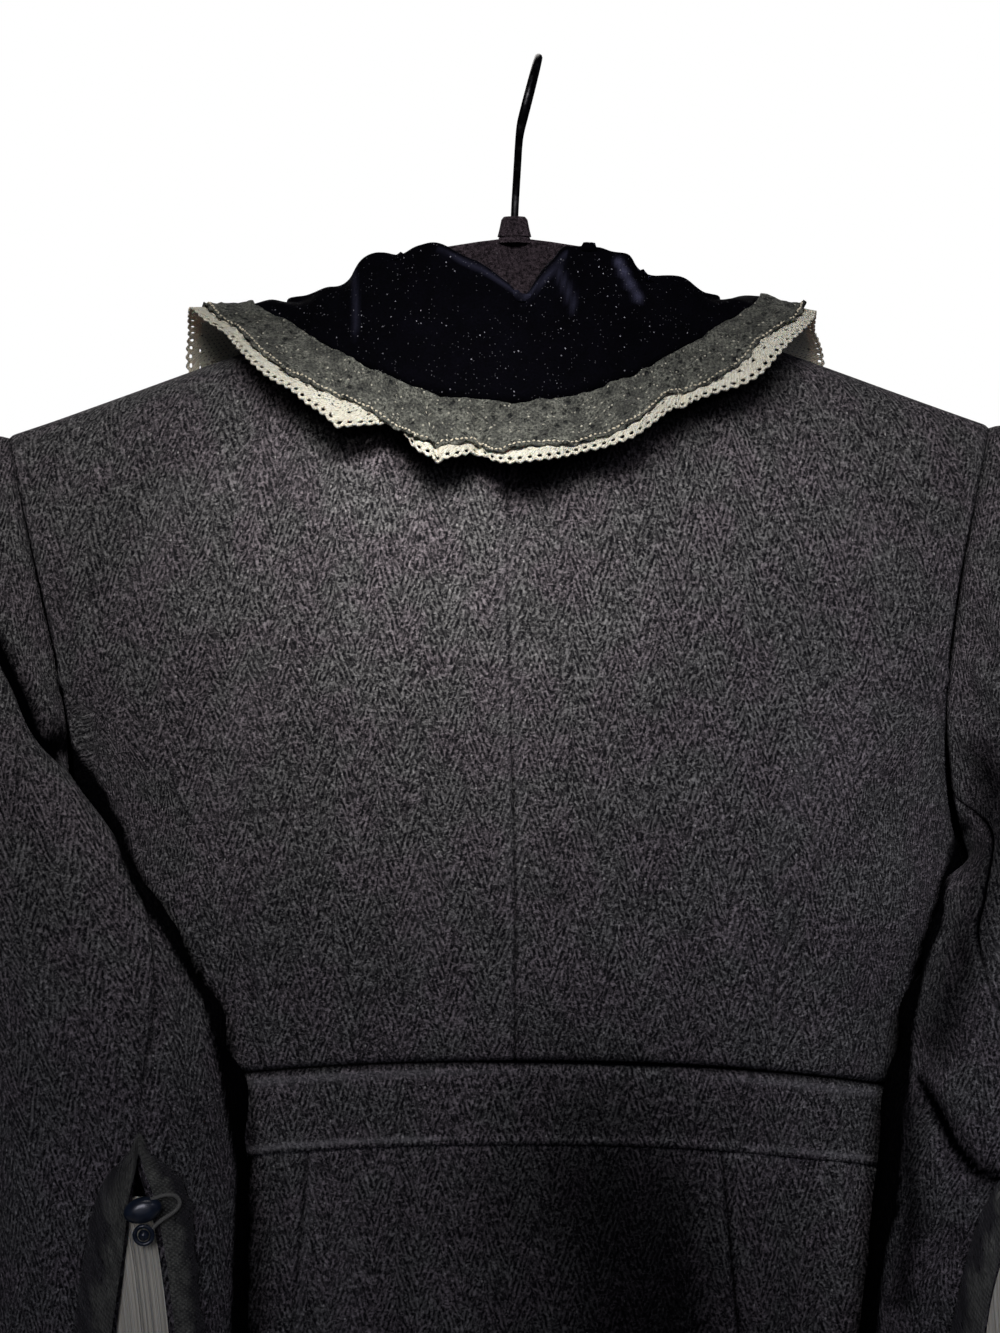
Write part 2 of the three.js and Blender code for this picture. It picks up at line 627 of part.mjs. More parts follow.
// Where the collar stands at one place round the neck; negative places are the wearer's right.
function collarFrame(place) {
  const side = place < 0 ? -1 : 1;
  const at = (column, t = Math.abs(place)) => read(COLLAR, "t", t, column);
  const onTop = (x, drop) => (side < 0 && drop < 0 ? lapLift(x, shoulderTop(x) + drop) : 0);
  const edgeOf = (x, drop) => bodyAtDrop(side * x, drop);
  const x = at("edgeX");
  const drop = at("edgeDrop") - side * COLLAR_SKEW * bump(Math.abs(place) - 0.3, 0.15);
  const step = 1.5;
  const acrossX = edgeOf(x + step, drop).sub(edgeOf(x - step, drop));
  const acrossDrop = edgeOf(x, drop + step).sub(edgeOf(x, drop - step));
  const normal = new THREE.Vector3().crossVectors(acrossX, acrossDrop).normalize();
  const surface = edgeOf(x, drop);
  const neck = edgeOf(at("neckX"), at("neckDrop"));
  if (normal.dot(new THREE.Vector3(surface.x, surface.y, 30)) < 0) normal.negate();
  const away = surface.clone().sub(neck);
  away.addScaledVector(normal, -away.dot(normal)).normalize();
  neck.addScaledVector(normal, onTop(at("neckX"), at("neckDrop")));
  const edge = surface.clone().addScaledVector(normal, at("off") + onTop(x, drop));
  const wave = rollWave(neck.x * 1.08) * bump(place, 0.42);
  const higher = side < 0 ? bump(place + NECK_SIDE, 0.15) : 0;
  return { neck, edge, normal, away, roll: at("roll") + wave + higher };
}

// The collar's section, from the neck seam over the roll to the outer edge.
function collarSection(place) {
  const { neck, edge, normal, away, roll } = collarFrame(place);
  const cornerCut = 0.22 * clamp((Math.abs(place) - 0.93) / 0.07) ** 2; // rounds the front corners
  const tip = neck.clone().lerp(edge, 1 - cornerCut);
  const out = tip.clone().sub(neck).setZ(0).normalize();
  const foot = neck.clone().addScaledVector(away, -4).addScaledVector(normal, 1.8);
  const sideways = bump(Math.abs(place) - NECK_SIDE, 0.12);
  const bend = mix(3.8, 2.4, sideways); // radius of the roll
  const ridgeShare = mix(0.42, 0.26, sideways); // where the roll stands, from the neck outwards
  const ridge = neck.clone().lerp(tip, ridgeShare).setZ(roll);
  const inside = ridge.clone().addScaledVector(out, -bend).setZ(roll - bend);
  const outside = ridge.clone().addScaledVector(out, bend).setZ(roll - bend);
  const crown = outside.clone().lerp(tip, 0.5).addScaledVector(normal, 1.6);
  return new THREE.CatmullRomCurve3(
    [foot, foot.clone().lerp(inside, 0.55), inside, ridge, outside, crown, tip],
    false,
    "centripetal",
  );
}

const COLLAR_ENDS = 0.985;
const collarPlaces = steps(56).map((t) => (2 * t - 1) * COLLAR_ENDS);

function collar() {
  const point = (place, v) => collarSection(place).getPoint(v);
  const rows = [0, 0.14, 0.27, 0.38, 0.46, 0.54, 0.64, 0.82, 1]; // closest at the roll
  return wall(point, collarPlaces, rows, VELVET, 0);
}

// Gathers of the lace: it bulges out between one notch and the next.
function gather(place) {
  const after = LACE_NOTCHES.findIndex((notch) => notch > place);
  const from = LACE_NOTCHES[after - 1];
  const to = LACE_NOTCHES[after];
  const arch = Math.sin((Math.PI * (place - from)) / (to - from)) ** 0.7;
  return arch * clamp(0.35 + 4 * (to - from)) - 0.55;
}

const laceTaper = (place) => 1 - 0.2 * bump(Math.abs(place) - 0.42, 0.16);
const greyLaceWidth = (place) => 20 * laceTaper(place) + 1.6 * gather(place);
const creamLaceWidth = (place) => 26.5 * laceTaper(place) + 2.4 * gather(place);

// A lace stands out from the collar's edge at a slant, the gathers waving more towards its far edge.
function lace(width, stand) {
  const start = 1.9; // from the collar's edge
  const waving = 0.26; // height of the waves as a share of the distance from the collar
  const point = (place, v) => {
    const { edge, normal, away } = collarFrame(place);
    const slant = mix(0.42, 0.34, bump(Math.abs(place) - NECK_SIDE, 0.16));
    const far = v * width(place);
    const wave = waving * far * gather(place);
    return edge
      .addScaledVector(away, (start + far) * Math.cos(slant))
      .addScaledVector(normal, (start + far) * Math.sin(slant) + wave + stand);
  };
  const places = steps(96).map((t) => (2 * t - 1) * (COLLAR_ENDS - 0.05));
  return wall(point, places, steps(2), LACE, 0);
}

// ---------------------------------------------------------------- hanger, hook and buttons
function hanger() {
  const xs = [0, 14, 28, 38, 49, 56, 62, 68, 74, 81, 88, 96, 104, 120, 140, 160, 184];
  const half = [...xs.map((x) => [x, hangerTop(x)]), [188, hangerTop(188) - 1.6]];
  const under = [...xs].reverse().map((x) => [x, hangerTop(x) - read(HANGER, "x", x, "arm")]);
  const tip = [
    [HANGER_HALF, hangerTop(HANGER_HALF) - 5],
    [188, hangerTop(188) - 9.5],
  ];
  const right = [...half, ...tip, ...under];
  const left = right.slice(1, -1).reverse().map(([x, z]) => [-x, z]);
  const inset = 1.2;
  const shape = new THREE.Shape([...right, ...left].map(([x, z]) => new THREE.Vector2(x, z)));
  const geometry = new THREE.ExtrudeGeometry(shape, {
    depth: HANGER_THICK - 2 * inset,
    bevelThickness: inset,
    bevelSize: inset,
    bevelOffset: -inset,
    bevelSegments: 2,
    curveSegments: 1,
  });
  return geometry.translate(0, 0, inset - HANGER_THICK / 2).rotateX(Math.PI / 2);
}

// A solid turned about the upright axis, from a profile of radius and height.
function turned(profile, segments) {
  return new THREE.LatheGeometry(profile.map(([r, h]) => new THREE.Vector2(r, h)), segments);
}

// The neck is a turned boss that stands on the hanger and holds the wire.
function hangerNeck() {
  const profile = [
    [0, NECK_FOOT],
    [6.6, NECK_FOOT],
    [5.9, -65.5],
    [5.1, -61.6],
    [4.2, NECK_TOP],
    [0, NECK_TOP],
  ];
  return turned(profile, 24).rotateX(Math.PI / 2);
}

// The wire rises from the neck, then turns into a loop front to back, which leans sideways.
function hook() {
  const centre = HOOK_WIRE - HOOK_LOOP;
  const kink = -27;
  const riseLean = 2; // how far the straight part leans
  const rise = [
    [0, NECK_TOP + 0.3],
    [0, -52],
    [-0.6, -46],
    [-4.5, -40],
    [-11, -34.5],
  ];
  const turn = steps(10).map((t) => {
    const angle = mix(Math.PI * 1.14, -Math.PI * 0.24, t);
    return [HOOK_LOOP * Math.cos(angle), centre + HOOK_LOOP * Math.sin(angle)];
  });
  const lean = (z) => {
    const upper = clamp((z - kink) / (HOOK_WIRE - kink));
    return -riseLean * clamp((z + 60) / 33) - (HOOK_LEAN - riseLean) * upper;
  };
  const path = new THREE.CatmullRomCurve3(
    [...rise, ...turn].map(([y, z]) => new THREE.Vector3(lean(z), -y, z)),
    false,
    "centripetal",
  );
  const section = new THREE.Shape(
    steps(7).map((t) => {
      const angle = (t * 7 * Math.PI) / 4;
      return new THREE.Vector2(HOOK_WIRE * Math.cos(angle), HOOK_WIRE * Math.sin(angle));
    }),
  );
  return new THREE.ExtrudeGeometry(section, { steps: 44, extrudePath: path, bevelEnabled: false });
}

// A covered button: a low dome on a flat back.
function button(radius) {
  const height = radius * 0.42;
  const profile = [
    [0, 0],
    [radius * 0.9, 0],
    [radius, height * 0.3],
    [radius * 0.86, height * 0.72],
    [radius * 0.5, height * 0.95],
    [0, height],
  ];
  return turned(profile, 14);
}

// ---------------------------------------------------------------- the coat
const finishes = {
  wool: { color: 0x2b282c, roughness: 0.95 },
  velvet: { color: 0x0b0a12, roughness: 0.85 },
  greyLace: { color: 0x4a4e4d, roughness: 0.9 },
  creamLace: { color: 0xe6dfbe, roughness: 0.9 },
  darkLace: { color: 0x1c1c1f, roughness: 0.9 },
  button: { color: 0x10131f, roughness: 0.5 },
  flock: { color: 0x151216, roughness: 0.95 },
  wire: { color: 0x18181b, roughness: 0.3, metalness: 0.9 },
};

const coat = new THREE.Group();
coat.position.x = HOOK_LEAN;

function add(name, geometry, finish) {
  const mesh = new THREE.Mesh(
    geometry,
    new THREE.MeshStandardMaterial({ metalness: 0, ...finishes[finish] }),
  );
  mesh.name = name;
  coat.add(mesh);
  return mesh;
}

const sides = { left: 1, right: -1 };
const bandBottom = (q) => waist(q) - BAND_WIDTH;
const skirtSeam = () => roundFromBack(SKIRT_SEAM_X, WAIST_CENTRE_BACK - BAND_WIDTH);
const hem = () => HEM;

for (const [name, side] of Object.entries(sides)) {
  const lapped = side < 0;
  const corner = ARMHOLE_CORNER.back;
  const backColumns = withKnots(steps(12), NECK_CORNER.back);
  const backRows = withKnots(closing(11, 1.5), corner);
  const seamRows = backRows.filter((v) => v <= corner).map((v) => v / corner);
  const frontColumns = withKnots(steps(13), NECK_CORNER.front);
  const frontRows = withKnots(closing(12, 1.4), ARMHOLE_CORNER.front);
  add(`back_${name}`, bodyPiece(backPanel, side, backColumns, backRows), "wool");
  add(`side_back_${name}`, bodyPiece(sideBackPanel, side, closing(6, 1.4), seamRows), "wool");
  add(`front_${name}`, bodyPiece(frontPanel, side, frontColumns, frontRows, lapped), "wool");
  const frontBand = strip(() => 1, frontEdge, waist, bandBottom);
  add(`waistband_front_${name}`, bodyPiece(frontBand, side, steps(10), steps(2), lapped), "wool");
  const sideSkirt = strip(skirtSeam, () => 1, bandBottom, hem);
  add(`skirt_side_${name}`, bodyPiece(sideSkirt, side, steps(10), steps(9)), "wool");
  const frontSkirt = strip(() => 1, frontEdge, bandBottom, hem);
  add(`skirt_front_${name}`, bodyPiece(frontSkirt, side, steps(18), steps(9), lapped), "wool");
}
const wholeBack = (from) => (u) => (2 * u - 1) * from;
const backBand = (u, v) => {
  const q = wholeBack(1)(u);
  return [q, mix(waist(q), bandBottom(q), v)];
};
const backSkirt = (u, v) => {
  const q = wholeBack(skirtSeam())(u);
  return [q, mix(bandBottom(q), HEM, v)];
};
add("waistband_back", bodyPiece(backBand, 1, steps(18), steps(2)), "wool");
add("skirt_back", bodyPiece(backSkirt, 1, steps(14), steps(9)), "wool");

for (const [name, which] of Object.entries(SLEEVES)) {
  add(`sleeve_top_${name}`, topSleeve(which), "wool");
  add(`sleeve_under_${name}`, underSleeve(which), "wool");
  add(`vent_lace_${name}`, ventLace(which), "darkLace");
  add(`vent_insert_${name}`, ventInsert(which), "creamLace");
  const down = downAt(VENT_TOP - VENT_BUTTON_DROP);
  const place = onSleeve(which, down, BACK_SEAM, WOOL / 2 + LACE + VENT_BUTTON_STAND);
  const fastener = add(`button_vent_${name}`, button(VENT_BUTTON_RADIUS), "button");
  fastener.position.copy(place);
}

add("collar", collar(), "velvet");
add("collar_lace_grey", lace(greyLaceWidth, 0), "greyLace");
add("collar_lace_cream", lace(creamLaceWidth, -1.7), "creamLace");

FRONT_BUTTONS.forEach((z, i) => {
  const fastener = add(`button_front_${i + 1}`, button(BUTTON_RADIUS), "button");
  fastener.rotation.x = Math.PI;
  const q = roundFromFront(2, z);
  const face = body(-q, z, lapLift(0, z) + WOOL / 2 + BUTTON_STAND);
  fastener.position.copy(face);
});

add("hanger", hanger(), "flock");
add("hanger_neck", hangerNeck(), "flock");
add("hook", hook(), "wire");

export default coat;
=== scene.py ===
"""A fitted wool coat with a lace-edged velvet collar, on a flocked hanger."""
import math

import bmesh
import bpy
import numpy as np
from mathutils import Matrix, Vector


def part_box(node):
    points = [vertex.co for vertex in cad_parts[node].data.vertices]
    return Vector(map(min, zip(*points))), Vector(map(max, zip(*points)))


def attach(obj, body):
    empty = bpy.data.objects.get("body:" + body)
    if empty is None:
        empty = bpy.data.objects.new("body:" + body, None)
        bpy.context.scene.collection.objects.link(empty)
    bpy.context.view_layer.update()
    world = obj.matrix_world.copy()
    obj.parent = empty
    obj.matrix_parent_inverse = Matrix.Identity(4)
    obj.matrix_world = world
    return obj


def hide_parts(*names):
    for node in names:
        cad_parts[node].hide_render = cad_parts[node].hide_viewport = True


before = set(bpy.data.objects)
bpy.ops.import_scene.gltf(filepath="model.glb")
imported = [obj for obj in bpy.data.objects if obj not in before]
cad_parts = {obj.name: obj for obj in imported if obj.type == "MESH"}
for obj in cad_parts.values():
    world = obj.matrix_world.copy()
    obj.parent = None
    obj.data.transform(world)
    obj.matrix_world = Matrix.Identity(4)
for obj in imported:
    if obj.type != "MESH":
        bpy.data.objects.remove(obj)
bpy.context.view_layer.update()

# ---------------------------------------------------------------- driving dimensions
MM = 0.001
CENTRE = 9.4 * MM  # the coat's centre plane lies this far to the wearer's left of the hook
WOOL, VELVET, LACE = 2.0 * MM, 2.2 * MM, 1.0 * MM
EDGE_ROWS = np.array([0, 0.7, 1.5, 2.5, 3.8, 5.6, 8.0]) * MM  # rows of cloth beside a seam
SHOWN, HIDDEN = 3.2 * MM, 6.0 * MM  # mesh size of the cloth on the back, and elsewhere
ARM_STEP = 2.6 * MM  # the same of the sleeves, which crease most
ARM = 48  # a sleeve's breadth from its middle, in millimetres
PICOT = 3.8 * MM  # pitch of the loops on the cream lace
STITCH = 1.9 * MM  # pitch of the pale stitches on the grey lace
SIDES = {"left": 1, "right": -1}

# Middle of each sleeve, from the hem up.
SLEEVE_LINES = {
    "left": {"z": [-541, -464, -415, -366, -337, -230], "x": [150, 149, 152, 160, 169, 190],
             "y": [76, 66, 55, 34, 16, 3]},
    "right": {"z": [-541, -464, -415, -380, -337, -230], "x": [-170, -173, -186, -194, -197, -190],
              "y": [68, 60, 48, 34, 16, 3]},
}

# Creases in millimetres, seen from behind: both ends, half breadth, depth, and the height of
# the soft ridge beside the trough, on its right if positive.
BACK_CREASES = [
    (-91, -255, -77, -306, 7, 1.2, 0.6), (-104, -300, -96, -372, 8, 1.3, 0.7),
    (-140, -250, -112, -330, 7, 0.9, -0.5), (-62, -330, -58, -382, 7, 0.8, 0.5),
    (120, -226, 138, -290, 8, 0.9, 0.5), (98, -322, 92, -384, 7, 0.9, -0.6),
    (58, -300, 66, -380, 9, 0.6, 0.4), (150, -160, 168, -205, 7, 0.9, 0.5),
    (-128, -158, -146, -200, 7, 0.8, -0.4), (70, -130, 128, -150, 9, 0.5, 0.3),
    (-60, -132, -110, -150, 9, 0.5, 0.3),
]
FRONT_CREASES = [
    (90, -250, 60, -330, 9, 1.4, 0.8), (-70, -250, -40, -330, 9, 1.4, -0.8),
    (120, -300, 100, -390, 8, 1.1, 0.6), (-100, -300, -80, -390, 8, 1.1, -0.6),
]
SKIRT_CREASES = [
    (-52, -426, -58, -520, 9, 1.3, 0.8), (50, -424, 62, -540, 9, 1.2, -0.8),
    (16, -424, 20, -500, 8, 0.8, 0.5), (-100, -426, -112, -560, 9, 1.4, 0.8),
    (104, -426, 120, -560, 9, 1.4, -0.8),
]
SLEEVE_CREASES = {
    "left": [
        (214, -214, 187, -262, 3.0, 5.5, 2.0), (193, -252, 166, -286, 3.0, 6.0, 2.0),
        (196, -178, 187, -190, 2.2, 1.2, 0.8), (195, -190, 185, -202, 2.2, 1.6, -1.0),
        (193, -201, 184, -212, 2.2, 1.6, 1.0), (192, -212, 182, -224, 2.2, 1.8, 1.0),
        (190, -224, 181, -236, 2.2, 1.6, -1.0), (187, -236, 179, -247, 2.2, 1.4, 0.9),
        (206, -168, 201, -186, 4, 1.6, 1.0), (210, -188, 200, -206, 4, 1.4, -0.8),
        (206, -280, 176, -326, 8, 2.2, 1.2), (196, -322, 164, -356, 7, 1.6, -0.8),
        (206, -372, 166, -396, 8, 1.6, 0.8), (186, -402, 142, -428, 7, 1.4, -0.7),
        (196, -476, 150, -500, 8, 1.2, 0.6),
    ],
    "right": [
        (-166, -184, -182, -206, 4, 1.6, 1.0), (-160, -214, -186, -246, 4, 2.2, -1.2),
        (-158, -236, -178, -262, 4, 3.4, 1.6), (-154, -262, -186, -298, 6, 2.2, -1.2),
        (-146, -320, -172, -362, 6, 2.2, 1.2), (-144, -394, -161, -424, 5, 4.2, 2.0),
        (-160, -423, -186, -432, 5, 3.4, 1.8), (-140, -440, -182, -470, 8, 1.8, -0.8),
        (-150, -480, -186, -520, 8, 1.4, 0.7),
    ],
}

# Painted shade along lines: the points of a line in millimetres seen from behind, its half breadth, and
# how dark it is. It paints the shadow under the lace, the shade in the gaps beside the sleeves and in
# their creases, and a shadow over the middle of the skirt. Below 0 it is a painted highlight, where the
# nap catches the light.
BODY_SHADES = [
    # Painted shadow under the lace.
    ([(110, -113), (96, -128), (74, -146), (55, -143)], 7, 0.86),
    ([(55, -143), (46, -155), (23, -155), (3, -160)], 8.5, 0.93),
    ([(3, -161), (-16, -154), (-34, -142), (-52, -137), (-65, -131), (-82, -123)], 13, 0.93),
    # Painted shade in the gap beside the right sleeve, below the waist.
    ([(-139, -392), (-137, -412), (-134, -450), (-132, -500)], 6, 0.93),
    # Painted shadow over the middle of the skirt.
    ([(-30, -403), (-34, -430)], 30, 0.55),
    ([(-26, -438), (-38, -470), (-42, -520)], 54, 0.88),
]
# Painted shade in the sleeves' deep creases and beside the body.
SLEEVE_SHADES = {
    "left": [
        ([(213, -214), (204, -231), (195, -247), (189, -258), (182, -267), (174, -274), (167, -283)],
         1.9, 1.0),
    ],
    "right": [
        ([(-170, -268), (-173, -300), (-166, -326), (-158, -350), (-150, -376)], 8, 0.72),
        ([(-143, -391), (-153, -412), (-163, -422), (-186, -430)], 2.6, 0.95),
        ([(-138, -400), (-138, -440), (-135, -470)], 5, 0.8),
    ],
}
# Painted sheen: highlight lines on the velvet's folds and along the edges of its roll.
COLLAR_PAINTED_SHEEN = [
    ([(-30, -81), (-34, -88), (-38, -95)], 1.3, -0.65),
    ([(-7, -85), (-10, -91), (-13, -98)], 1.3, -0.22),
    ([(38, -77), (22, -84), (6, -95)], 0.8, -0.22),
    ([(5, -95), (-3, -86), (-10, -79)], 0.8, -0.30),
    ([(71, -84), (70, -96), (70, -108)], 1.1, -0.16),
]

# How far the right sleeve's inner side falls in towards its middle, short of its solid, by height.
SLEEVE_FALL = {"z": [-541, -500, -460, -439, -414, -402, -380, -368, -350, -328, -312, -300],
               "in": [0, 6, 9, 6, 1.8, 0, 0, 1.0, 3.2, 4.0, 2.0, 0]}

# The gap between each sleeve and the body, where shade is painted: its middle across by height, seen from
# behind.
SLEEVE_GAPS = {
    "left": {"z": [-520, -452, -425, -390, -362, -346, -316, -297, -282, -274, -262],
             "x": [114, 112.6, 111.5, 117.9, 124.8, 134.3, 153, 160.5, 168.1, 174.2, 184], "half": 1.7},
    "right": {"z": [-520, -470, -449, -439, -407, -387, -373, -350, -328, -307, -297],
              "x": [-121, -126, -129.4, -132.5, -135.5, -139.3, -140.4, -145.4, -152.2, -158.3, -164],
              "half": 0.9},
}

# Standing folds of the collar: place across the back in millimetres, half breadth, and rise.
COLLAR_FOLDS = [
    (76, 4, -2.6), (66, 5, 2.4), (54, 3.5, -1.5), (40, 5, 1.2), (24, 9, 1.0), (6.5, 3.2, -2.6),
    (-10, 3.4, 2.4), (-19, 3.5, -1.4), (-33, 4, 2.8), (-42, 4.5, -3.0), (-56, 6, 1.2),
]


# ---------------------------------------------------------------- sheets of cloth
def merged(node):
    """A copy of a CAD node's mesh, its loose triangles joined."""
    mesh = bmesh.new()
    mesh.from_mesh(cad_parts[node].data)
    bmesh.ops.remove_doubles(mesh, verts=mesh.verts, dist=1e-6)
    return mesh


def islands(mesh):
    """The separate sheets of a mesh, as sets of faces."""
    left = set(mesh.faces)
    while left:
        found, front = set(), [left.pop()]
        while front:
            face = front.pop()
            found.add(face)
            beside = {f for e in face.edges for f in e.link_faces} & left
            left -= beside
            front += beside
        yield found


def walked(faces):
    """The points of a triangulated grid, in rows and columns."""
    corner = next(v for f in faces for v in f.verts if len(v.link_edges) == 2)
    first = corner.link_faces[0]
    start = next(loop for loop in first.loops if loop.vert == corner)
    after = {"row": "diagonal", "diagonal": "column", "column": "row"}
    kinds, front, done = {start.edge: "row"}, [first], {first}
    while front:
        face = front.pop()
        loop = next(x for x in face.loops if x.edge in kinds)
        for _ in range(2):
            kinds[loop.link_loop_next.edge] = after[kinds[loop.edge]]
            loop = loop.link_loop_next
        for beside in {f for e in face.edges for f in e.link_faces} - done:
            done.add(beside)
            front.append(beside)

    def along(vert, kind):
        path, came = [vert], None
        while True:
            step = next((e for e in path[-1].link_edges if kinds[e] == kind and e != came), None)
            if step is None:
                return path
            path.append(step.other_vert(path[-1]))
            came = step

    return np.array([[v.co for v in along(w, "column")] for w in along(corner, "row")], float)


def sheet_of(node, thickness, inside, long_way=False):
    """The outer side of a wall of cloth, as points across it and down it. inside says which point
    the cloth faces away from at a place. A long strip runs across along its length."""
    mesh = merged(node)
    rim = {f for e in mesh.edges if abs(e.calc_length() - thickness) < 1e-6 for f in e.link_faces}
    bmesh.ops.delete(mesh, geom=list(rim), context="FACES")
    mesh.normal_update()

    def facing(faces):
        middles = {f: f.calc_center_median() for f in faces}
        return sum(f.calc_area() * f.normal.dot(spot - inside(spot)) for f, spot in middles.items())

    points = walked(max(islands(mesh), key=facing))
    mesh.free()
    if long_way:
        if points.shape[0] < points.shape[1]:
            points = points.swapaxes(0, 1)
        middle = points[len(points) // 2]
        if abs(middle[0, 1]) > abs(middle[-1, 1]):
            points = points[:, ::-1]
        points = points if points[-1, 0, 0] > points[0, 0, 0] else points[::-1]
    else:
        height = points[..., 2]
        if abs(height[-1] - height[0]).mean() > abs(height[:, -1] - height[:, 0]).mean():
            points = points.swapaxes(0, 1)
        if points[:, 0, 2].mean() < points[:, -1, 2].mean():
            points = points[:, ::-1]
        outward = (normals(points) * (points - np.array(inside(points.mean((0, 1)))))).sum()
        points = points if outward > 0 else points[::-1]
    return points


def through(points, shares):
    """Points on the smooth curves through the rows of an array, at shares of its length. Shares
    outside 0 to 1 run straight on."""
    last = len(points) - 1
    place = np.asarray(shares, float) * last
    i = np.clip(np.floor(place).astype(int), 0, last - 1)
    t = (place - i)[:, None, None]
    padded = np.concatenate([2 * points[:1] - points[1:2], points, 2 * points[-1:] - points[-2:-1]])
    a, b, c, d = (padded[i + k] for k in range(4))
    curve = b + 0.5 * t * (c - a + t * (2 * a - 5 * b + 4 * c - d + t * (3 * (b - c) + d - a)))
    before, past = t < 0, t > 1
    curve = np.where(before, b + t * (c - a) / 2, curve)
    return np.where(past, c + (t - 1) * (d - b) / 2, curve)


def lengths(points, axis):
    """Distance along the cloth from its first row or column."""
    step = np.linalg.norm(np.diff(points, axis=axis), axis=2)
    pad = [(0, 0), (0, 0)]
    pad[axis] = (1, 0)
    return np.pad(np.cumsum(step, axis=axis), pad)


def normals(points):
    cross = np.cross(np.gradient(points, axis=0), np.gradient(points, axis=1))
    return cross / np.maximum(np.linalg.norm(cross, axis=2, keepdims=True), 1e-12)


def spaced(points, axis, step, past=(0.5 * MM, 0.5 * MM)):
    """Shares of the cloth at even distances, closer together beside its edges. The first and last
    lie a little past its edges, to close the gap between two solids at a seam."""
    run = lengths(points, axis).mean(1 - axis)
    inner = np.linspace(EDGE_ROWS[-1], run[-1] - EDGE_ROWS[-1], max(3, round(run[-1] / step)))
    places = np.concatenate([EDGE_ROWS, inner[1:-1], run[-1] - EDGE_ROWS[::-1]])
    shares = np.interp(places, run, np.linspace(0, 1, len(run)))
    shares[0] -= past[0] / run[-1]
    shares[-1] += past[1] / run[-1]
    return shares


def resampled(points, across, down):
    return through(through(points, across).swapaxes(0, 1), down).swapaxes(0, 1)


def hill(distance, breadth):
    return np.exp(-((distance / breadth) ** 2))


def at_seams(points, seams):
    """How far the cloth turns in at its seams, and the shade painted there. A highlight is painted
    beside a seam, where the nap catches the light."""
    across, down = lengths(points, 0), lengths(points, 1)
    away = {"start": across, "end": across[-1] - across, "top": down, "bottom": down[:, -1:] - down}
    depth, shade = np.zeros(across.shape), np.zeros(across.shape)
    for edge, (deep, breadth, dark, pale) in seams.items():
        far = away[edge] / MM
        depth += deep * MM * hill(far, breadth)
        shade += dark * hill(far, 0.8 * breadth) - pale * hill(far - 2.1 * breadth, breadth)
    return depth, shade


def shaded(points, rows):
    """The painted shade of a table of lines, and below 0 their painted highlight."""
    shade = np.zeros(points.shape[:2])
    spot = points[..., [0, 2]] / MM
    for line, breadth, strength in rows:
        for start, end in zip(line, line[1:]):
            along = np.subtract(end, start)
            share = np.clip((spot - start) @ along / (along @ along), 0, 1)
            near = np.linalg.norm(spot - start - share[..., None] * along, axis=2)
            there = strength * hill(near, breadth)
            shade = np.where(np.abs(there) > np.abs(shade), there, shade)
    return shade


def in_gap(points, which, on_body):
    """The shade painted on a piece where it bounds the gap beside a sleeve."""
    gap, side = SLEEVE_GAPS[which], SIDES[which]
    x, z = points[..., 0] / MM, points[..., 2] / MM
    side = side if on_body else -side
    past = side * (x - np.interp(z, gap["z"], gap["x"])) + gap["half"]
    ends = hill(np.maximum(0, z - gap["z"][-1]), 5) * hill(np.maximum(0, gap["z"][0] - z), 12)
    return 0.98 * hill(np.maximum(0, -past), 0.7) * hill(np.maximum(0, past - 9), 7) * ends


def creased(points, rows):
    """Depth of a table of creases at each point. Each fades out towards its ends."""
    depth = np.zeros(points.shape[:2])
    for x1, z1, x2, z2, breadth, trough, ridge in rows:
        line = np.array([x2 - x1, z2 - z1]) * MM
        place = points[..., [0, 2]] - np.array([x1, z1]) * MM
        share = place @ line / (line @ line)
        off = (place[..., 0] * line[1] - place[..., 1] * line[0]) / np.linalg.norm(line)
        bend = off / MM + 0.12 * breadth * np.sin(7 * share)
        ends = hill(np.maximum(0, np.abs(share - 0.5) - 0.3), 0.24)
        beside = bend - math.copysign(1.7 * breadth, ridge)
        depth += ends * MM * (trough * hill(bend, breadth) - abs(ridge) * hill(beside, 1.3 * breadth))
    return depth


def wavy(points, seed, size, amount):
    """A slight unevenness of the cloth, from a few crossing waves."""
    draw = np.random.default_rng(seed)
    total = np.zeros(points.shape[:2])
    for _ in range(7):
        way = draw.normal(size=3) * [1, 1, 0.6]
        way *= 2 * math.pi / (size * draw.uniform(0.7, 1.6) * np.linalg.norm(way))
        total += np.sin(points @ way + draw.uniform(0, 6.3))
    return amount * total / 3.5


def grid_mesh(points, uv, shade=None):
    """A mesh of quads through an array of points, with a map of where each lies on the cloth and
    of the shade painted there."""
    columns, rows = points.shape[:2]
    mesh = bmesh.new()
    bmesh.ops.create_grid(mesh, x_segments=columns - 1, y_segments=rows - 1, size=1.0)
    cloth = mesh.loops.layers.uv.new("cloth")
    dark = mesh.verts.layers.float.new("shade")
    places = {}
    for vert in mesh.verts:
        i = round((vert.co.x + 1) / 2 * (columns - 1))
        j = round((vert.co.y + 1) / 2 * (rows - 1))
        places[vert] = (i, j)
    for vert, place in places.items():
        vert.co = points[place]
        vert[dark] = 0.0 if shade is None else shade[place]
    for face in mesh.faces:
        for loop in face.loops:
            loop[cloth].uv = uv[places[loop.vert]]
    return mesh, places


def finished(name, mesh, finish, replaces=(), thickness=None, rounds=0):
    """A smooth object from a mesh, with its wall and its finish, on the one body."""
    data = bpy.data.meshes.new(name)
    mesh.to_mesh(data)
    mesh.free()
    data.shade_smooth()
    piece = bpy.data.objects.new(name, data)
    bpy.context.scene.collection.objects.link(piece)
    data.materials.append(finish)
    if rounds:
        soft = piece.modifiers.new("rounding", "SUBSURF")
        soft.levels = soft.render_levels = rounds
        soft.boundary_smooth = "PRESERVE_CORNERS"
    if thickness:
        wall = piece.modifiers.new("thickness", "SOLIDIFY")
        wall.thickness = thickness
        wall.offset = -1
        wall.use_even_offset = False
    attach(piece, "root")
    if replaces:
        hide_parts(*replaces)
    return piece


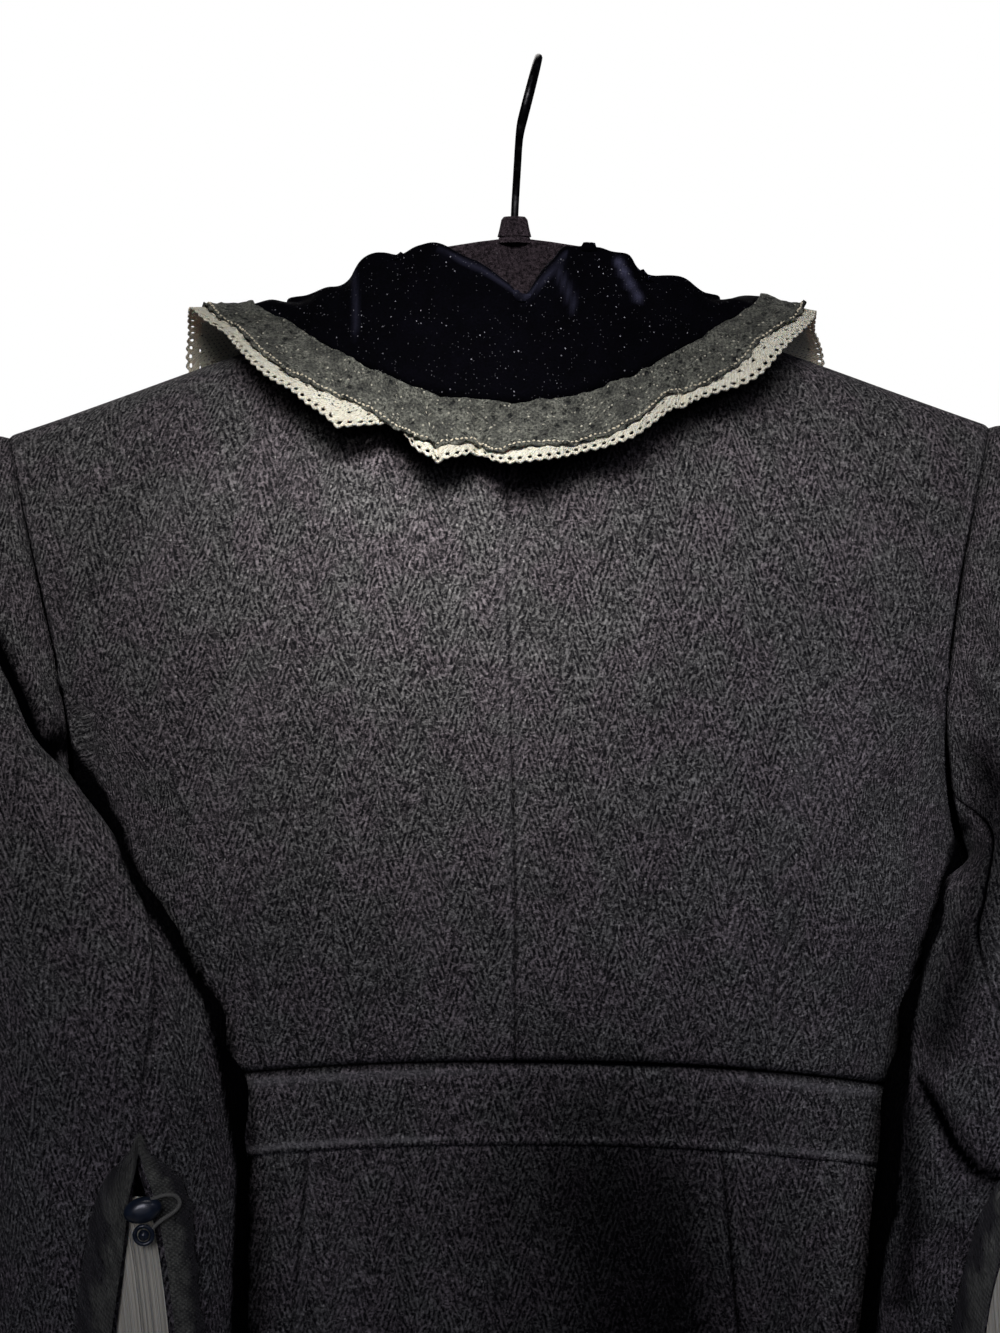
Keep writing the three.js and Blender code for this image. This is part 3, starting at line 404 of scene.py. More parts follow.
def cut_of(points):
    """Flat size and area of a sheet, measured along the cloth."""
    across, down = lengths(points, 0)[-1].max(), lengths(points, 1)[:, -1].max()
    a, b, c, d = points[:-1, :-1], points[1:, :-1], points[1:, 1:], points[:-1, 1:]
    halves = [np.cross(b - a, d - a), np.cross(c - b, c - d)]
    area = sum(np.linalg.norm(half, axis=2).sum() for half in halves) / 2
    return (float(across), float(down)), float(min(area, across * down))


def declared(points):
    """Measures the flat size and area of a sheet; nothing uses them."""
    flat, area = cut_of(points)


# ---------------------------------------------------------------- finishes
class Value:
    """A number that changes over a surface. Python's operators add the Math nodes."""

    def __init__(self, finish, socket):
        self.finish, self.socket = finish, socket

    def maths(self, operation, *values, clamp=False):
        settings = {"operation": operation, "use_clamp": clamp}
        return self.finish.node("ShaderNodeMath", settings, dict(enumerate(values)))[0]

    def __add__(self, other):
        return self.maths("ADD", self, other)

    def __radd__(self, other):
        return self.maths("ADD", other, self)

    def __sub__(self, other):
        return self.maths("SUBTRACT", self, other)

    def __rsub__(self, other):
        return self.maths("SUBTRACT", other, self)

    def __mul__(self, other):
        return self.maths("MULTIPLY", self, other)

    def __rmul__(self, other):
        return self.maths("MULTIPLY", other, self)

    def __truediv__(self, other):
        return self.maths("DIVIDE", self, other)

    def __pow__(self, other):
        return self.maths("POWER", self, other)

    def __gt__(self, other):
        return self.maths("GREATER_THAN", self, other)

    def __abs__(self):
        return self.maths("ABSOLUTE", self)

    def floor(self):
        return self.maths("FLOOR", self)

    def part(self):
        return self.maths("FRACT", self)

    def wave(self):
        """A wave between 0 and 1, of length 1."""
        return 0.5 - 0.5 * self.maths("COSINE", self * (2 * math.pi))

    def clamped(self):
        return self.maths("ADD", self, 0.0, clamp=True)

    def between(self, low, high):
        """0 below low and 1 above high, with a smooth step."""
        settings = {"interpolation_type": "SMOOTHSTEP"}
        return self.finish.node("ShaderNodeMapRange", settings, {0: self, 1: low, 2: high})[0]


class Finish:
    """A procedural material. Numbers that are the same all over go on the shader's own sockets."""

    def __init__(self, name, **constants):
        self.material = bpy.data.materials.new(name)
        self.material.use_nodes = True
        self.nodes, self.links = self.material.node_tree.nodes, self.material.node_tree.links
        self.shader = self.nodes["Principled BSDF"]
        for socket, value in constants.items():
            self.shader.inputs[socket.replace("_", " ").title().replace("Ior", "IOR")].default_value = value

    def node(self, kind, settings, inputs):
        made = self.nodes.new(kind)
        for key, value in settings.items():
            setattr(made, key, value)
        for key, value in inputs.items():
            if isinstance(value, Value):
                self.links.new(value.socket, made.inputs[key])
            else:
                made.inputs[key].default_value = value
        return [Value(self, socket) for socket in made.outputs]

    def place(self):
        """The two lengths along the cloth, in millimetres."""
        cloth = self.node("ShaderNodeUVMap", {"uv_map": "cloth"}, {})[0]
        u, v, _ = self.node("ShaderNodeSeparateXYZ", {}, {0: cloth})
        return u * 1000, v * 1000

    def point(self, turn=(0, 0, 0)):
        """The point in space, in millimetres."""
        spot = self.node("ShaderNodeTexCoord", {}, {})[3]
        inputs = {"Vector": spot, "Scale": (1000.0, 1000.0, 1000.0), "Rotation": turn}
        return self.node("ShaderNodeMapping", {}, inputs)[0]

    def shade(self):
        """The painted shade on the cloth, below 0 a painted highlight where the nap catches the light."""
        return self.node("ShaderNodeAttribute", {"attribute_name": "shade"}, {})[2]

    def vector(self, x, y, z=0.0):
        return self.node("ShaderNodeCombineXYZ", {}, {0: x, 1: y, 2: z})[0]

    def noise(self, vector, scale, detail=2.0, rough=0.5):
        inputs = {"Vector": vector, "Scale": scale, "Detail": detail, "Roughness": rough}
        return self.node("ShaderNodeTexNoise", {}, inputs)[0]

    def cells(self, vector, scale, spread=1.0):
        """Distance to the middle of a cell, and a random number for it."""
        inputs = {"Vector": vector, "Scale": scale, "Randomness": spread}
        distance, colour, _, *_ = self.node("ShaderNodeTexVoronoi", {}, inputs)
        return distance, self.node("ShaderNodeSeparateColor", {}, {0: colour})[0]

    def specks(self, vector, scale, rare, inner, outer):
        """Round spots in the cells whose random number is above rare, and that number."""
        distance, pick = self.cells(vector, scale)
        return (pick > rare) * (1 - distance.between(inner, outer)), pick

    def blend(self, share, low, high):
        return self.node("ShaderNodeMix", {"data_type": "RGBA"}, {0: share, 6: low, 7: high})[2]

    def feed(self, socket, value):
        self.links.new(value.socket, self.shader.inputs[socket])

    def colour(self, value):
        self.feed("Base Color", value)

    def paint_shade(self, share):
        """Paints shade: mixes towards black and takes away all of the shine too, where share is 1."""
        black = self.node("ShaderNodeBsdfDiffuse", {}, {"Color": rgb(0.0008, 0.0008, 0.0012)})[0]
        plain = Value(self, self.shader.outputs[0])
        mixed = self.node("ShaderNodeMixShader", {}, {0: share, 1: plain, 2: black})[0]
        self.links.new(mixed.socket, self.nodes["Material Output"].inputs[0])

    def relief(self, *layers):
        """Bumps from heights and their depths in millimetres."""
        below = {}
        for height, depth in layers:
            inputs = {"Height": height, "Distance": depth * MM, "Strength": 1.0} | below
            normal = self.node("ShaderNodeBump", {}, inputs)[0]
            below = {"Normal": normal}
        self.feed("Normal", normal)


def rgb(red, green, blue):
    return (red, green, blue, 1.0)


def herringbone():
    f = Finish("wool_herringbone", roughness=0.92, sheen_weight=0.10, sheen_roughness=0.6,
               sheen_tint=rgb(0.58, 0.58, 0.64), specular_ior_level=0.15)
    u, v = f.place()
    wander = f.noise(f.vector(u, v), 0.09, 2.0)
    u = u + (wander - 0.5) * 2.2
    column = (u / 8.5).floor()
    way = ((column / 2.0).part() > 0.25) * 2 - 1
    across = u * 0.95 + way * v * 0.31
    along = v * 0.95 - way * u * 0.31
    ridge = (across / 1.9).wave()
    strokes = f.vector(across * 1.25, along * 0.50, column * 3.1)
    strand = f.noise(strokes, 0.80, 1.0, 0.5).between(0.43, 0.59)
    grit = f.noise(f.point(), 0.90, 1.0, 0.6).between(0.44, 0.60)
    fuzz = f.noise(f.point(turn=(0.4, 0.3, 0.5)), 0.60, 2.0, 0.6).between(0.38, 0.64)
    clouds = f.noise(f.point(), 0.018, 2.0)
    tint = f.noise(f.point(turn=(0.2, 0.5, 0.1)), 0.05, 2.0).between(0.38, 0.62)
    light = 0.14 * ridge + 0.46 * strand * (0.35 + 0.65 * ridge) + 0.62 * grit * (0.15 + 0.85 * fuzz)
    light = (light - 0.04) * (0.7 + 0.6 * clouds)
    pale = f.blend(tint, rgb(0.262, 0.232, 0.248), rgb(0.242, 0.240, 0.236))
    cloth = f.blend(light.clamped(), rgb(0.0018, 0.0016, 0.0026), pale)
    fleck, _ = f.specks(f.vector(u, v * 0.7), 0.50, 0.90, 0.10, 0.26)
    napped = f.blend(fleck * 0.7, cloth, rgb(0.44, 0.43, 0.42))
    shade = f.shade()
    # Painted highlight where the shade is below 0, and painted shade down to black where it is above 0.
    lit = f.blend((0 - shade).clamped(), napped, rgb(0.34, 0.33, 0.34))
    f.colour(lit)
    f.paint_shade(shade.clamped())
    f.feed("Roughness", 0.86 + 0.12 * grit)
    f.relief((ridge * 0.5 + strand * 0.5, 0.35), (grit, 0.55))
    return f.material


def velvet(name="velvet_midnight", pile=rgb(0.0005, 0.0005, 0.0008)):
    f = Finish(name, roughness=0.9, sheen_weight=0.22, sheen_roughness=0.10,
               sheen_tint=rgb(0.26, 0.28, 0.50), specular_ior_level=0.02)
    p = f.point()
    brushed = f.noise(f.point(turn=(0, 0.2, 0.3)), 0.10, 3.0, 0.6)
    nap = f.noise(p, 1.1, 2.0, 0.6)
    # Pale dots of painted glints, where the pile catches the light.
    pale_dots, pick = f.specks(p, 0.62, 0.90, 0.08, 0.24)
    small, _ = f.specks(p, 1.0, 0.80, 0.10, 0.28)
    dark = f.blend((brushed * nap * 2.2).clamped(), pile, rgb(0.0018, 0.0017, 0.0034))
    # Painted sheen on the folds and roll edges, from the collar's lines of painted highlight.
    painted_sheen = f.blend((0 - f.shade()).clamped(), dark, rgb(0.070, 0.072, 0.125))
    painted_glints = pale_dots * (pick - 0.86) * 5.0 + small * 0.13
    f.colour(f.blend(painted_glints.clamped(), painted_sheen, rgb(0.46, 0.46, 0.52)))
    f.relief((nap, 0.25), (brushed, 0.8))
    return f.material


def grey_ribbon():
    f = Finish("lace_grey", roughness=0.82, sheen_weight=0.05, sheen_roughness=0.5, specular_ior_level=0.25)
    u, v = f.place()
    p = f.vector(u, v)
    net = (u / 2.1 + v / 2.1).wave() * (u / 2.1 - v / 2.1).wave()
    fibre = f.noise(p, 0.75, 3.0, 0.75).between(0.32, 0.70)
    patch = f.noise(p, 0.16, 2.0).between(0.35, 0.65)
    ring = abs(f.noise(p, 0.13, 1.0) - 0.5)
    trail = 1 - ring.between(0.02, 0.09)
    bead, _ = f.specks(p, 0.55, 0.84 - 0.40 * trail, 0.14, 0.34)
    hollow, _ = f.specks(p, 0.30, 0.45, 0.16, 0.40)
    ground = f.blend((0.04 + 0.30 * net + 0.85 * fibre * (0.3 + 0.9 * patch) - 0.35 * hollow).clamped(),
                     rgb(0.006, 0.008, 0.008), rgb(0.262, 0.272, 0.228))
    f.colour(f.blend(bead * 0.85, ground, rgb(0.72, 0.70, 0.58)))
    f.feed("Roughness", 0.9 - 0.25 * bead)
    f.relief((net, 0.45), (fibre, 1.0), (1 - hollow, 0.9), (bead, 0.5))
    return f.material


def cream_cotton():
    f = Finish("lace_cream", roughness=0.78, sheen_weight=0.15, sheen_roughness=0.5, specular_ior_level=0.3,
               subsurface_weight=0.12)
    u, v = f.place()
    p = f.vector(u, v)
    twist = (u / 1.25 + v / 1.7).wave()
    fibre = f.noise(p, 0.8, 3.0, 0.7).between(0.3, 0.7)
    stain = f.noise(p, 0.09, 2.0)
    eyes = ((u / 1.9).part() - 0.5) ** 2 + ((v / 2.1 + 0.5 * (u / 1.9).floor()).part() - 0.5) ** 2
    eye = 1 - eyes.between(0.015, 0.05)
    thread = f.blend((0.35 + 0.4 * twist + 0.5 * fibre - 0.3 * stain).clamped(),
                     rgb(0.68, 0.59, 0.41), rgb(1.0, 0.95, 0.78))
    f.colour(f.blend(eye * (v > 7.2) * 0.7, thread, rgb(0.16, 0.13, 0.09)))
    f.relief((twist, 0.35), (fibre, 0.4), (1 - eye, 0.35))
    return f.material


def dark_lacework():
    f = Finish("lace_dark", roughness=0.7, sheen_weight=0.2, sheen_roughness=0.4, specular_ior_level=0.35)
    u, v = f.place()
    p = f.vector(u, v)
    petal_spot, petal_pick = f.cells(p, 0.19)
    threads = (u / 1.6 + v / 2.2).wave() * (u / 1.6 - v / 2.2).wave()
    fibre = f.noise(p, 0.8, 3.0, 0.7).between(0.3, 0.7)
    hole, _ = f.specks(p, 0.42, 0.45, 0.14, 0.26)
    light = (0.10 + 0.8 * (1 - petal_spot) * fibre + 0.4 * threads).clamped()
    outer = (v + (petal_pick - 0.5) * 5).between(5.0, 9.0)
    pale = f.blend(outer, rgb(0.240, 0.245, 0.205), rgb(0.050, 0.046, 0.050))
    f.colour(f.blend(light, rgb(0.004, 0.004, 0.005), pale))
    f.feed("Alpha", 1 - hole * outer)
    f.relief((threads, 0.25), (1 - petal_spot, 0.8), (fibre, 0.3))
    return f.material


def flock():
    f = Finish("flock_black", roughness=0.96, sheen_weight=0.25, sheen_roughness=0.5,
               sheen_tint=rgb(0.55, 0.42, 0.50), specular_ior_level=0.1)
    p = f.point()
    pile = f.noise(p, 0.9, 3.0, 0.75).between(0.34, 0.70)
    worn = f.noise(p, 0.05, 3.0)
    # Pale specks of lint in the pile.
    pale_dots, _ = f.specks(p, 0.55, 0.90, 0.10, 0.24)
    base = f.blend((pile * (0.4 + worn)).clamped(), rgb(0.006, 0.0045, 0.006), rgb(0.088, 0.068, 0.080))
    f.colour(f.blend(pale_dots * 0.35, base, rgb(0.30, 0.28, 0.30)))
    f.relief((pile, 0.5))
    return f.material


def black_wire():
    f = Finish("wire_black", metallic=0.85, specular_ior_level=0.5)
    p = f.point()
    worn = f.noise(p, 0.25, 3.0, 0.6)
    f.colour(f.blend(worn.between(0.45, 0.75), rgb(0.012, 0.012, 0.014), rgb(0.10, 0.10, 0.105)))
    f.feed("Roughness", 0.26 + 0.22 * worn)
    f.relief((f.noise(p, 0.9, 2.0), 0.05))
    return f.material


def blue_glass():
    f = Finish("button_blue_black", coat_weight=0.4, coat_roughness=0.12, specular_ior_level=0.5)
    p = f.point()
    cloud = f.noise(p, 0.35, 2.0)
    f.colour(f.blend(cloud, rgb(0.002, 0.003, 0.007), rgb(0.018, 0.032, 0.060)))
    f.feed("Roughness", 0.22 + 0.2 * cloud)
    return f.material


wool = herringbone()
midnight = velvet()
cover = velvet("velvet_button", rgb(0.005, 0.006, 0.012))
ribbon = grey_ribbon()
cotton = cream_cotton()
lacework = dark_lacework()
flocking = flock()
wire = black_wire()
glass = blue_glass()


# ---------------------------------------------------------------- the coat's panels
def in_body(spot):
    return Vector((CENTRE, 0, spot[2]))


def in_sleeve(which):
    line = SLEEVE_LINES[which]

    def inside(spot):
        at = [np.interp(spot[2] / MM, line["z"], line[key]) * MM for key in ("x", "y")]
        return Vector((at[0] + CENTRE, at[1], spot[2]))

    return inside


def upright(points, line):
    """A map of the cloth with its grain upright along a line, given by its place across."""
    across, down = lengths(points, 0), lengths(points, 1)
    at = np.abs(points[..., 0] - line).argmin(0)
    rows = np.arange(points.shape[1])
    way = np.sign(points[-1, :, 0] - points[0, :, 0])
    start = across[at, rows] + way * (line - points[at, rows, 0])
    return np.stack([across - start, down[:, -1:] - down], axis=2)


def round_arm(points, which, under):
    """The same for a sleeve, about its middle."""
    line, side = SLEEVE_LINES[which], SIDES[which]
    x, y, z = (points[..., k] / MM for k in range(3))
    middle = [np.interp(z, line["z"], line[key]) for key in ("x", "y")]
    raised = 0.3 * np.maximum(z + 230, 0)
    angle = np.arctan2(y - middle[1] + raised, side * (x - CENTRE / MM - middle[0]))
    angle = np.where((angle < -0.5) & under, angle + 2 * math.pi, angle)
    return np.stack([angle * ARM, -z], axis=2) * MM


def fallen_in(points):
    """The right sleeve, its inner side fallen in."""
    line = SLEEVE_LINES["right"]
    x, z = points[..., 0] / MM, points[..., 2] / MM
    share = np.clip((x - CENTRE / MM - np.interp(z, line["z"], line["x"]) - 4) / 28, 0, 1)
    fall = np.interp(z, SLEEVE_FALL["z"], SLEEVE_FALL["in"]) * share * share * (3 - 2 * share)
    return points - np.stack([fall, 0 * fall, 0 * fall], axis=2) * MM


def cloth(node, inside, step, seams, creases=(), shades=(), mapped=None, ridge=None, seed=1, above=0.5 * MM,
          gap=None, moved=None):
    """A panel of wool on its solid's outer side, its edges turned in at the seams. above is how far
    it goes past its upper edge."""
    points = sheet_of(node, WOOL, inside)
    points = resampled(points, spaced(points, 0, step), spaced(points, 1, step, (above, 0.5 * MM)))
    points = moved(points) if moved else points
    across, down = lengths(points, 0), lengths(points, 1)
    edge_free = 1 - hill(np.minimum(across, across[-1] - across), 9 * MM)
    edge_free *= 1 - hill(np.minimum(down, down[:, -1:] - down), 9 * MM)
    depth, shade = at_seams(points, seams)
    folds = creased(points, creases) * edge_free
    # Painted shade from the table, in the crease troughs and in the gap beside a sleeve; a faint painted
    # highlight on the crease ridges.
    shade += shaded(points, shades) + np.clip(folds / (13 * MM), -0.12, 0.5)
    if gap:
        shade = np.maximum(shade, in_gap(points, *gap))
    depth += folds + wavy(points, seed, 70 * MM, 0.35 * MM) * edge_free
    if ridge:
        depth -= at_seams(points, ridge)[0]
    uv = mapped(points) + [seed * 0.0137, 0]
    points = points - normals(points) * depth[..., None]
    mesh, _ = grid_mesh(points, uv, shade)
    piece = finished(node + "_cloth", mesh, wool, [node], thickness=1.7 * MM)
    declared(points)


# Seams: how deep the cloth turns in, over what half breadth in millimetres, how much shade is painted
# there, and how much highlight is painted beside it, where the nap catches the light.
SEAM = (1.4, 1.3, 0.45, 0.10)  # a plain pressed seam
PRINCESS = (0.9, 1.2, 0.22, 0.06)
CENTRE_SEAM = (1.5, 1.1, 0.48, 0.08)
ARMHOLE = (0.5, 1.3, 0.35, 0.10)
CAP = (2.0, 2.6, 0.30, 0.10)  # the head of a sleeve, which turns in to the armhole
HEM_SEAM = (2.4, 1.8, 0.85, 0.0)  # the bodice's lower edge
WELL = (3.0, 1.8, 0.97, 0.34)  # under the bodice, where the waistband is set in
RAISED = (0.5, 1.2, 0.10, 0.38)  # the waistband's lower edge
SET_UNDER = (1.2, 1.0, 0.25, 0.0)  # the skirt's upper edge
FREE = (0.5, 1.2, 0.15, 0.10)  # an edge that is not sewn to another
BAND_RIDGES = {"top": (1.5, 3.6, 0, 0), "bottom": (1.1, 3.2, 0, 0)}  # the waistband's raised edges


def upright_at(x):
    return lambda points: upright(points, x * MM + CENTRE)


for name, side in SIDES.items():
    mid, out = ("start", "end") if side > 0 else ("end", "start")
    beside = (name, True)
    cloth(f"back_{name}", in_body, SHOWN, {mid: CENTRE_SEAM, out: PRINCESS, "bottom": HEM_SEAM},
          BACK_CREASES, BODY_SHADES, upright_at(0), seed=2 + side)
    cloth(f"side_back_{name}", in_body, SHOWN,
          {mid: PRINCESS, out: SEAM, "top": ARMHOLE, "bottom": HEM_SEAM},
          BACK_CREASES, BODY_SHADES, upright_at(132 * side), seed=7 + side, gap=beside)
    cloth(f"front_{name}", in_body, HIDDEN, {"start": SEAM, "end": SEAM, "bottom": SEAM}, FRONT_CREASES,
          mapped=upright_at(70 * side), seed=12 + side)
    cloth(f"waistband_front_{name}", in_body, HIDDEN, {"top": SEAM, "bottom": SEAM, out: FREE},
          mapped=upright_at(70 * side), seed=17 + side)
    cloth(f"skirt_side_{name}", in_body, SHOWN, {mid: SEAM, out: SEAM, "top": RAISED, "bottom": FREE},
          SKIRT_CREASES, BODY_SHADES, upright_at(110 * side), seed=22 + side, gap=beside)
    cloth(f"skirt_front_{name}", in_body, HIDDEN, {"start": SEAM, "end": SEAM, "top": SEAM, "bottom": FREE},
          mapped=upright_at(70 * side), seed=27 + side)
cloth("waistband_back", in_body, SHOWN, {"start": SEAM, "end": SEAM, "top": WELL, "bottom": RAISED},
      shades=BODY_SHADES, mapped=upright_at(0), ridge=BAND_RIDGES, seed=41)
cloth("skirt_back", in_body, SHOWN, {"start": SEAM, "end": SEAM, "top": SET_UNDER, "bottom": FREE},
      SKIRT_CREASES, BODY_SHADES, upright_at(0), seed=42)

for name, side in SIDES.items():
    for layer, seed in (("top", 51), ("under", 56)):
        cloth(f"sleeve_{layer}_{name}", in_sleeve(name), ARM_STEP,
              {"start": SEAM, "end": SEAM, "top": CAP, "bottom": FREE},
              SLEEVE_CREASES[name], SLEEVE_SHADES[name],
              lambda points: round_arm(points, name, layer == "under"),
              seed=seed + side, above=3.0 * MM, gap=(name, False), moved=fallen_in if side < 0 else None)


# ---------------------------------------------------------------- collar and its laces
def below(depth):
    return lambda spot: Vector((CENTRE, 0, -depth))


def collar():
    points = sheet_of("collar", VELVET, below(0.45), long_way=True)
    points = resampled(points, np.linspace(0, 1, 420), np.linspace(0, 1, 46))
    shares = np.linspace(0, 1, points.shape[1])[None, :]
    behind = np.clip(points[..., 1] / (20 * MM), 0, 1)
    x = points[..., 0] / MM
    rise = sum(height * hill(x - at, breadth) for at, breadth, height in COLLAR_FOLDS)
    points = points + normals(points) * (rise * hill(shares - 0.68, 0.16) * behind * MM)[..., None]
    points = points + normals(points) * wavy(points, 5, 26 * MM, 0.35 * MM)[..., None]
    uv = np.stack([lengths(points, 0), lengths(points, 1)], axis=2)
    # Painted sheen lines on the part of the collar seen from behind.
    mesh, _ = grid_mesh(points, uv, shaded(points, COLLAR_PAINTED_SHEEN) * behind)
    piece = finished("collar_velvet", mesh, midnight, ["collar"], thickness=1.9 * MM)
    declared(points)


PLEATS = [(44.8, 1.2, 3.6, -0.25), (24.8, 1.0, 2.4, -0.1), (-58, 1.3, 2.0, 0.2), (76, 1.6, 1.6, 0.0)]

# How much lower the edge of each lace hangs than on its solid, across the back.
LACE_DROPS = {
    "x": [-100, -87, -81, -63, -51, -34, -16, 4, 17, 24, 38, 46, 55, 74, 95, 110],
    "grey": [0, -3.0, -0.5, 0.5, -5.5, 1.5, 1.5, -0.8, 3.6, -2.3, 1.0, 2.3, 0, -3.8, -0.8, 0],
    "cream": [0, 2.7, 3.8, -1.5, -4.6, 1.1, -1.5, 0.4, 0, -4.2, 1.5, 1.2, -8.4, 3.8, -1.5, 0],
}


def let_down(points, lace):
    """Moves each crosswise row of a lace further out where its edge hangs lower."""
    at = points[:, -1, 0] / MM
    drop = np.interp(at, LACE_DROPS["x"], LACE_DROPS[lace])
    soft = np.convolve(np.pad(drop, 4, mode="edge"), np.ones(9) / 9, mode="valid") * (points[:, -1, 1] > 0)
    away = lengths(points, 1)
    outward = points[:, -1] - points[:, 0]
    outward /= np.linalg.norm(outward, axis=1, keepdims=True)
    share = (away / away[:, -1:]) ** 1.5
    return points + outward[:, None] * (soft[:, None] * share * MM)[..., None]


def pleated(points, away):
    """Narrow tucks in a lace: place across, half breadth, depth, and lean."""
    depth = np.zeros(points.shape[:2])
    for x, breadth, deep, lean in PLEATS:
        off = points[..., 0] / MM - x - lean * away
        depth += deep * hill(off, breadth) * np.clip(away / 8, 0, 1)
    return depth * (points[..., 1] > 0) * MM


def grey_lace():
    points = sheet_of("collar_lace_grey", LACE, below(0.30), long_way=True)
    rows = np.array([-2.0, -1.2, -0.2, 1.2, 3, 5, 7, 9, 11, 13, 15, 16.6, 18, 19, 19.8, 20.2]) / 20.2
    points = let_down(resampled(points, np.linspace(0, 1, 620), rows), "grey")
    away = lengths(points, 1) / MM
    along = lengths(points, 0)
    lifted = hill(away, 3.4) * MM
    ripple = 0.45 * MM * np.sin(along / (2.9 * MM) + 1.6 * np.sin(along / (17 * MM)))
    ripple *= np.clip(away / 14, 0, 1)
    crumple = wavy(points, 6, 9 * MM, 0.5 * MM) + wavy(points, 8, 4 * MM, 0.25 * MM)
    points = points + normals(points) * (lifted + ripple + crumple - pleated(points, away))[..., None]
    edge = 0.5 * MM * np.sin(along[:, -1] / (1.1 * MM)) + 0.5 * MM * np.sin(along[:, -1] / (5.3 * MM))
    outward = points[:, -1] - points[:, -2]
    points[:, -1] += outward / np.linalg.norm(outward, axis=1, keepdims=True) * edge[:, None]
    mesh, _ = grid_mesh(points, np.stack([along[:, 6:7] + 0 * along, away * MM], axis=2))
    piece = finished("collar_lace_grey_ribbon", mesh, ribbon, ["collar_lace_grey"],
                     thickness=0.8 * MM)
    declared(points)
    return points


def stitches(strip):
    """A row of pale thread along the lower edge of the grey lace."""
    run = lengths(strip, 0)[:, -3]
    line, out = strip[:, -3], normals(strip)[:, -3]
    mesh = bmesh.new()
    draw = np.random.default_rng(3)
    for k, start in enumerate(np.arange(2 * MM, run[-1] - 2 * MM, STITCH)):
        spot = [np.interp(start, run, line[:, c]) for c in range(3)]
        ahead = [np.interp(start + MM, run, line[:, c]) for c in range(3)]
        normal = Vector([np.interp(start, run, out[:, c]) for c in range(3)]).normalized()
        along = (Vector(ahead) - Vector(spot)).normalized()
        side = normal.cross(along)
        lean = 0.5 if k % 2 else -0.5
        first = (along + side * lean).normalized()
        second = normal.cross(first)
        size = draw.uniform(0.8, 1.15)
        sides = (first * 0.78 * MM * size, second * 0.42 * MM * size, normal * 0.36 * MM)
        place = Matrix.Translation(Vector(spot) + normal * 0.25 * MM)
        bmesh.ops.create_icosphere(mesh, subdivisions=1, radius=1.0,
                                   matrix=place @ Matrix(sides).transposed().to_4x4())
    finished("collar_lace_stitches", mesh, thread)


def cream_lace():
    points = sheet_of("collar_lace_cream", LACE, below(0.30), long_way=True)
    width = 26.5
    from_edge = np.array([26, 22, 17, 12.5, 10, 8.2, 6.8, 5.6, 4.5, 3.5, 2.5, 1.0, 0.0])
    run = lengths(points, 0)[:, -1]
    loops = round(run[-1] / PICOT)
    places = np.interp(np.linspace(0, run[-1], 4 * loops + 1), run, np.linspace(0, 1, len(run)))
    points = let_down(resampled(points, places, 1 - from_edge / width), "cream")
    away = lengths(points, 1) / MM
    along = lengths(points, 0)
    crumple = wavy(points, 9, 14 * MM, 0.6 * MM) * (away / 26)
    points = points + normals(points) * (crumple - pleated(points, away))[..., None]
    outward = points[:, -1] - points[:, -2]
    outward /= np.linalg.norm(outward, axis=1, keepdims=True)
    swing = np.array([-0.75, 0.25, 0.75, 0.25])[np.arange(len(points)) % 4] * MM
    points[:, -1] += outward * swing[:, None]
    points[:, -2] += outward * (0.25 * swing)[:, None]
    uv = np.stack([along[:, -1:] + 0 * along, (away[:, -1:] - away) * MM], axis=2)
    mesh, at = grid_mesh(points, uv)
    row = len(from_edge) - 3
    holes = []
    for face in mesh.faces:
        column, down = (min(at[v][k] for v in face.verts) for k in (0, 1))
        if (down == row and column % 4 in (1, 2)) or (down == row - 4 and column % 8 in (0, 7)):
            holes.append(face)
    bmesh.ops.delete(mesh, geom=holes, context="FACES")
    piece = finished("collar_lace_cream_picot", mesh, cotton, ["collar_lace_cream"],
                     thickness=0.9 * MM, rounds=1)
    declared(points)


def twisted_thread(name, dark, pale):
    f = Finish(name, roughness=0.7, sheen_weight=0.1, specular_ior_level=0.3)
    grain = f.noise(f.point(), 2.2, 3.0, 0.7)
    f.colour(f.blend(grain, dark, pale))
    f.relief((grain, 0.15))
    return f.material


thread = twisted_thread("thread_cream", rgb(0.46, 0.40, 0.28), rgb(0.80, 0.75, 0.60))
cord = twisted_thread("cord_grey", rgb(0.05, 0.05, 0.045), rgb(0.30, 0.30, 0.26))
collar()
strip = grey_lace()
stitches(strip)
cream_lace()


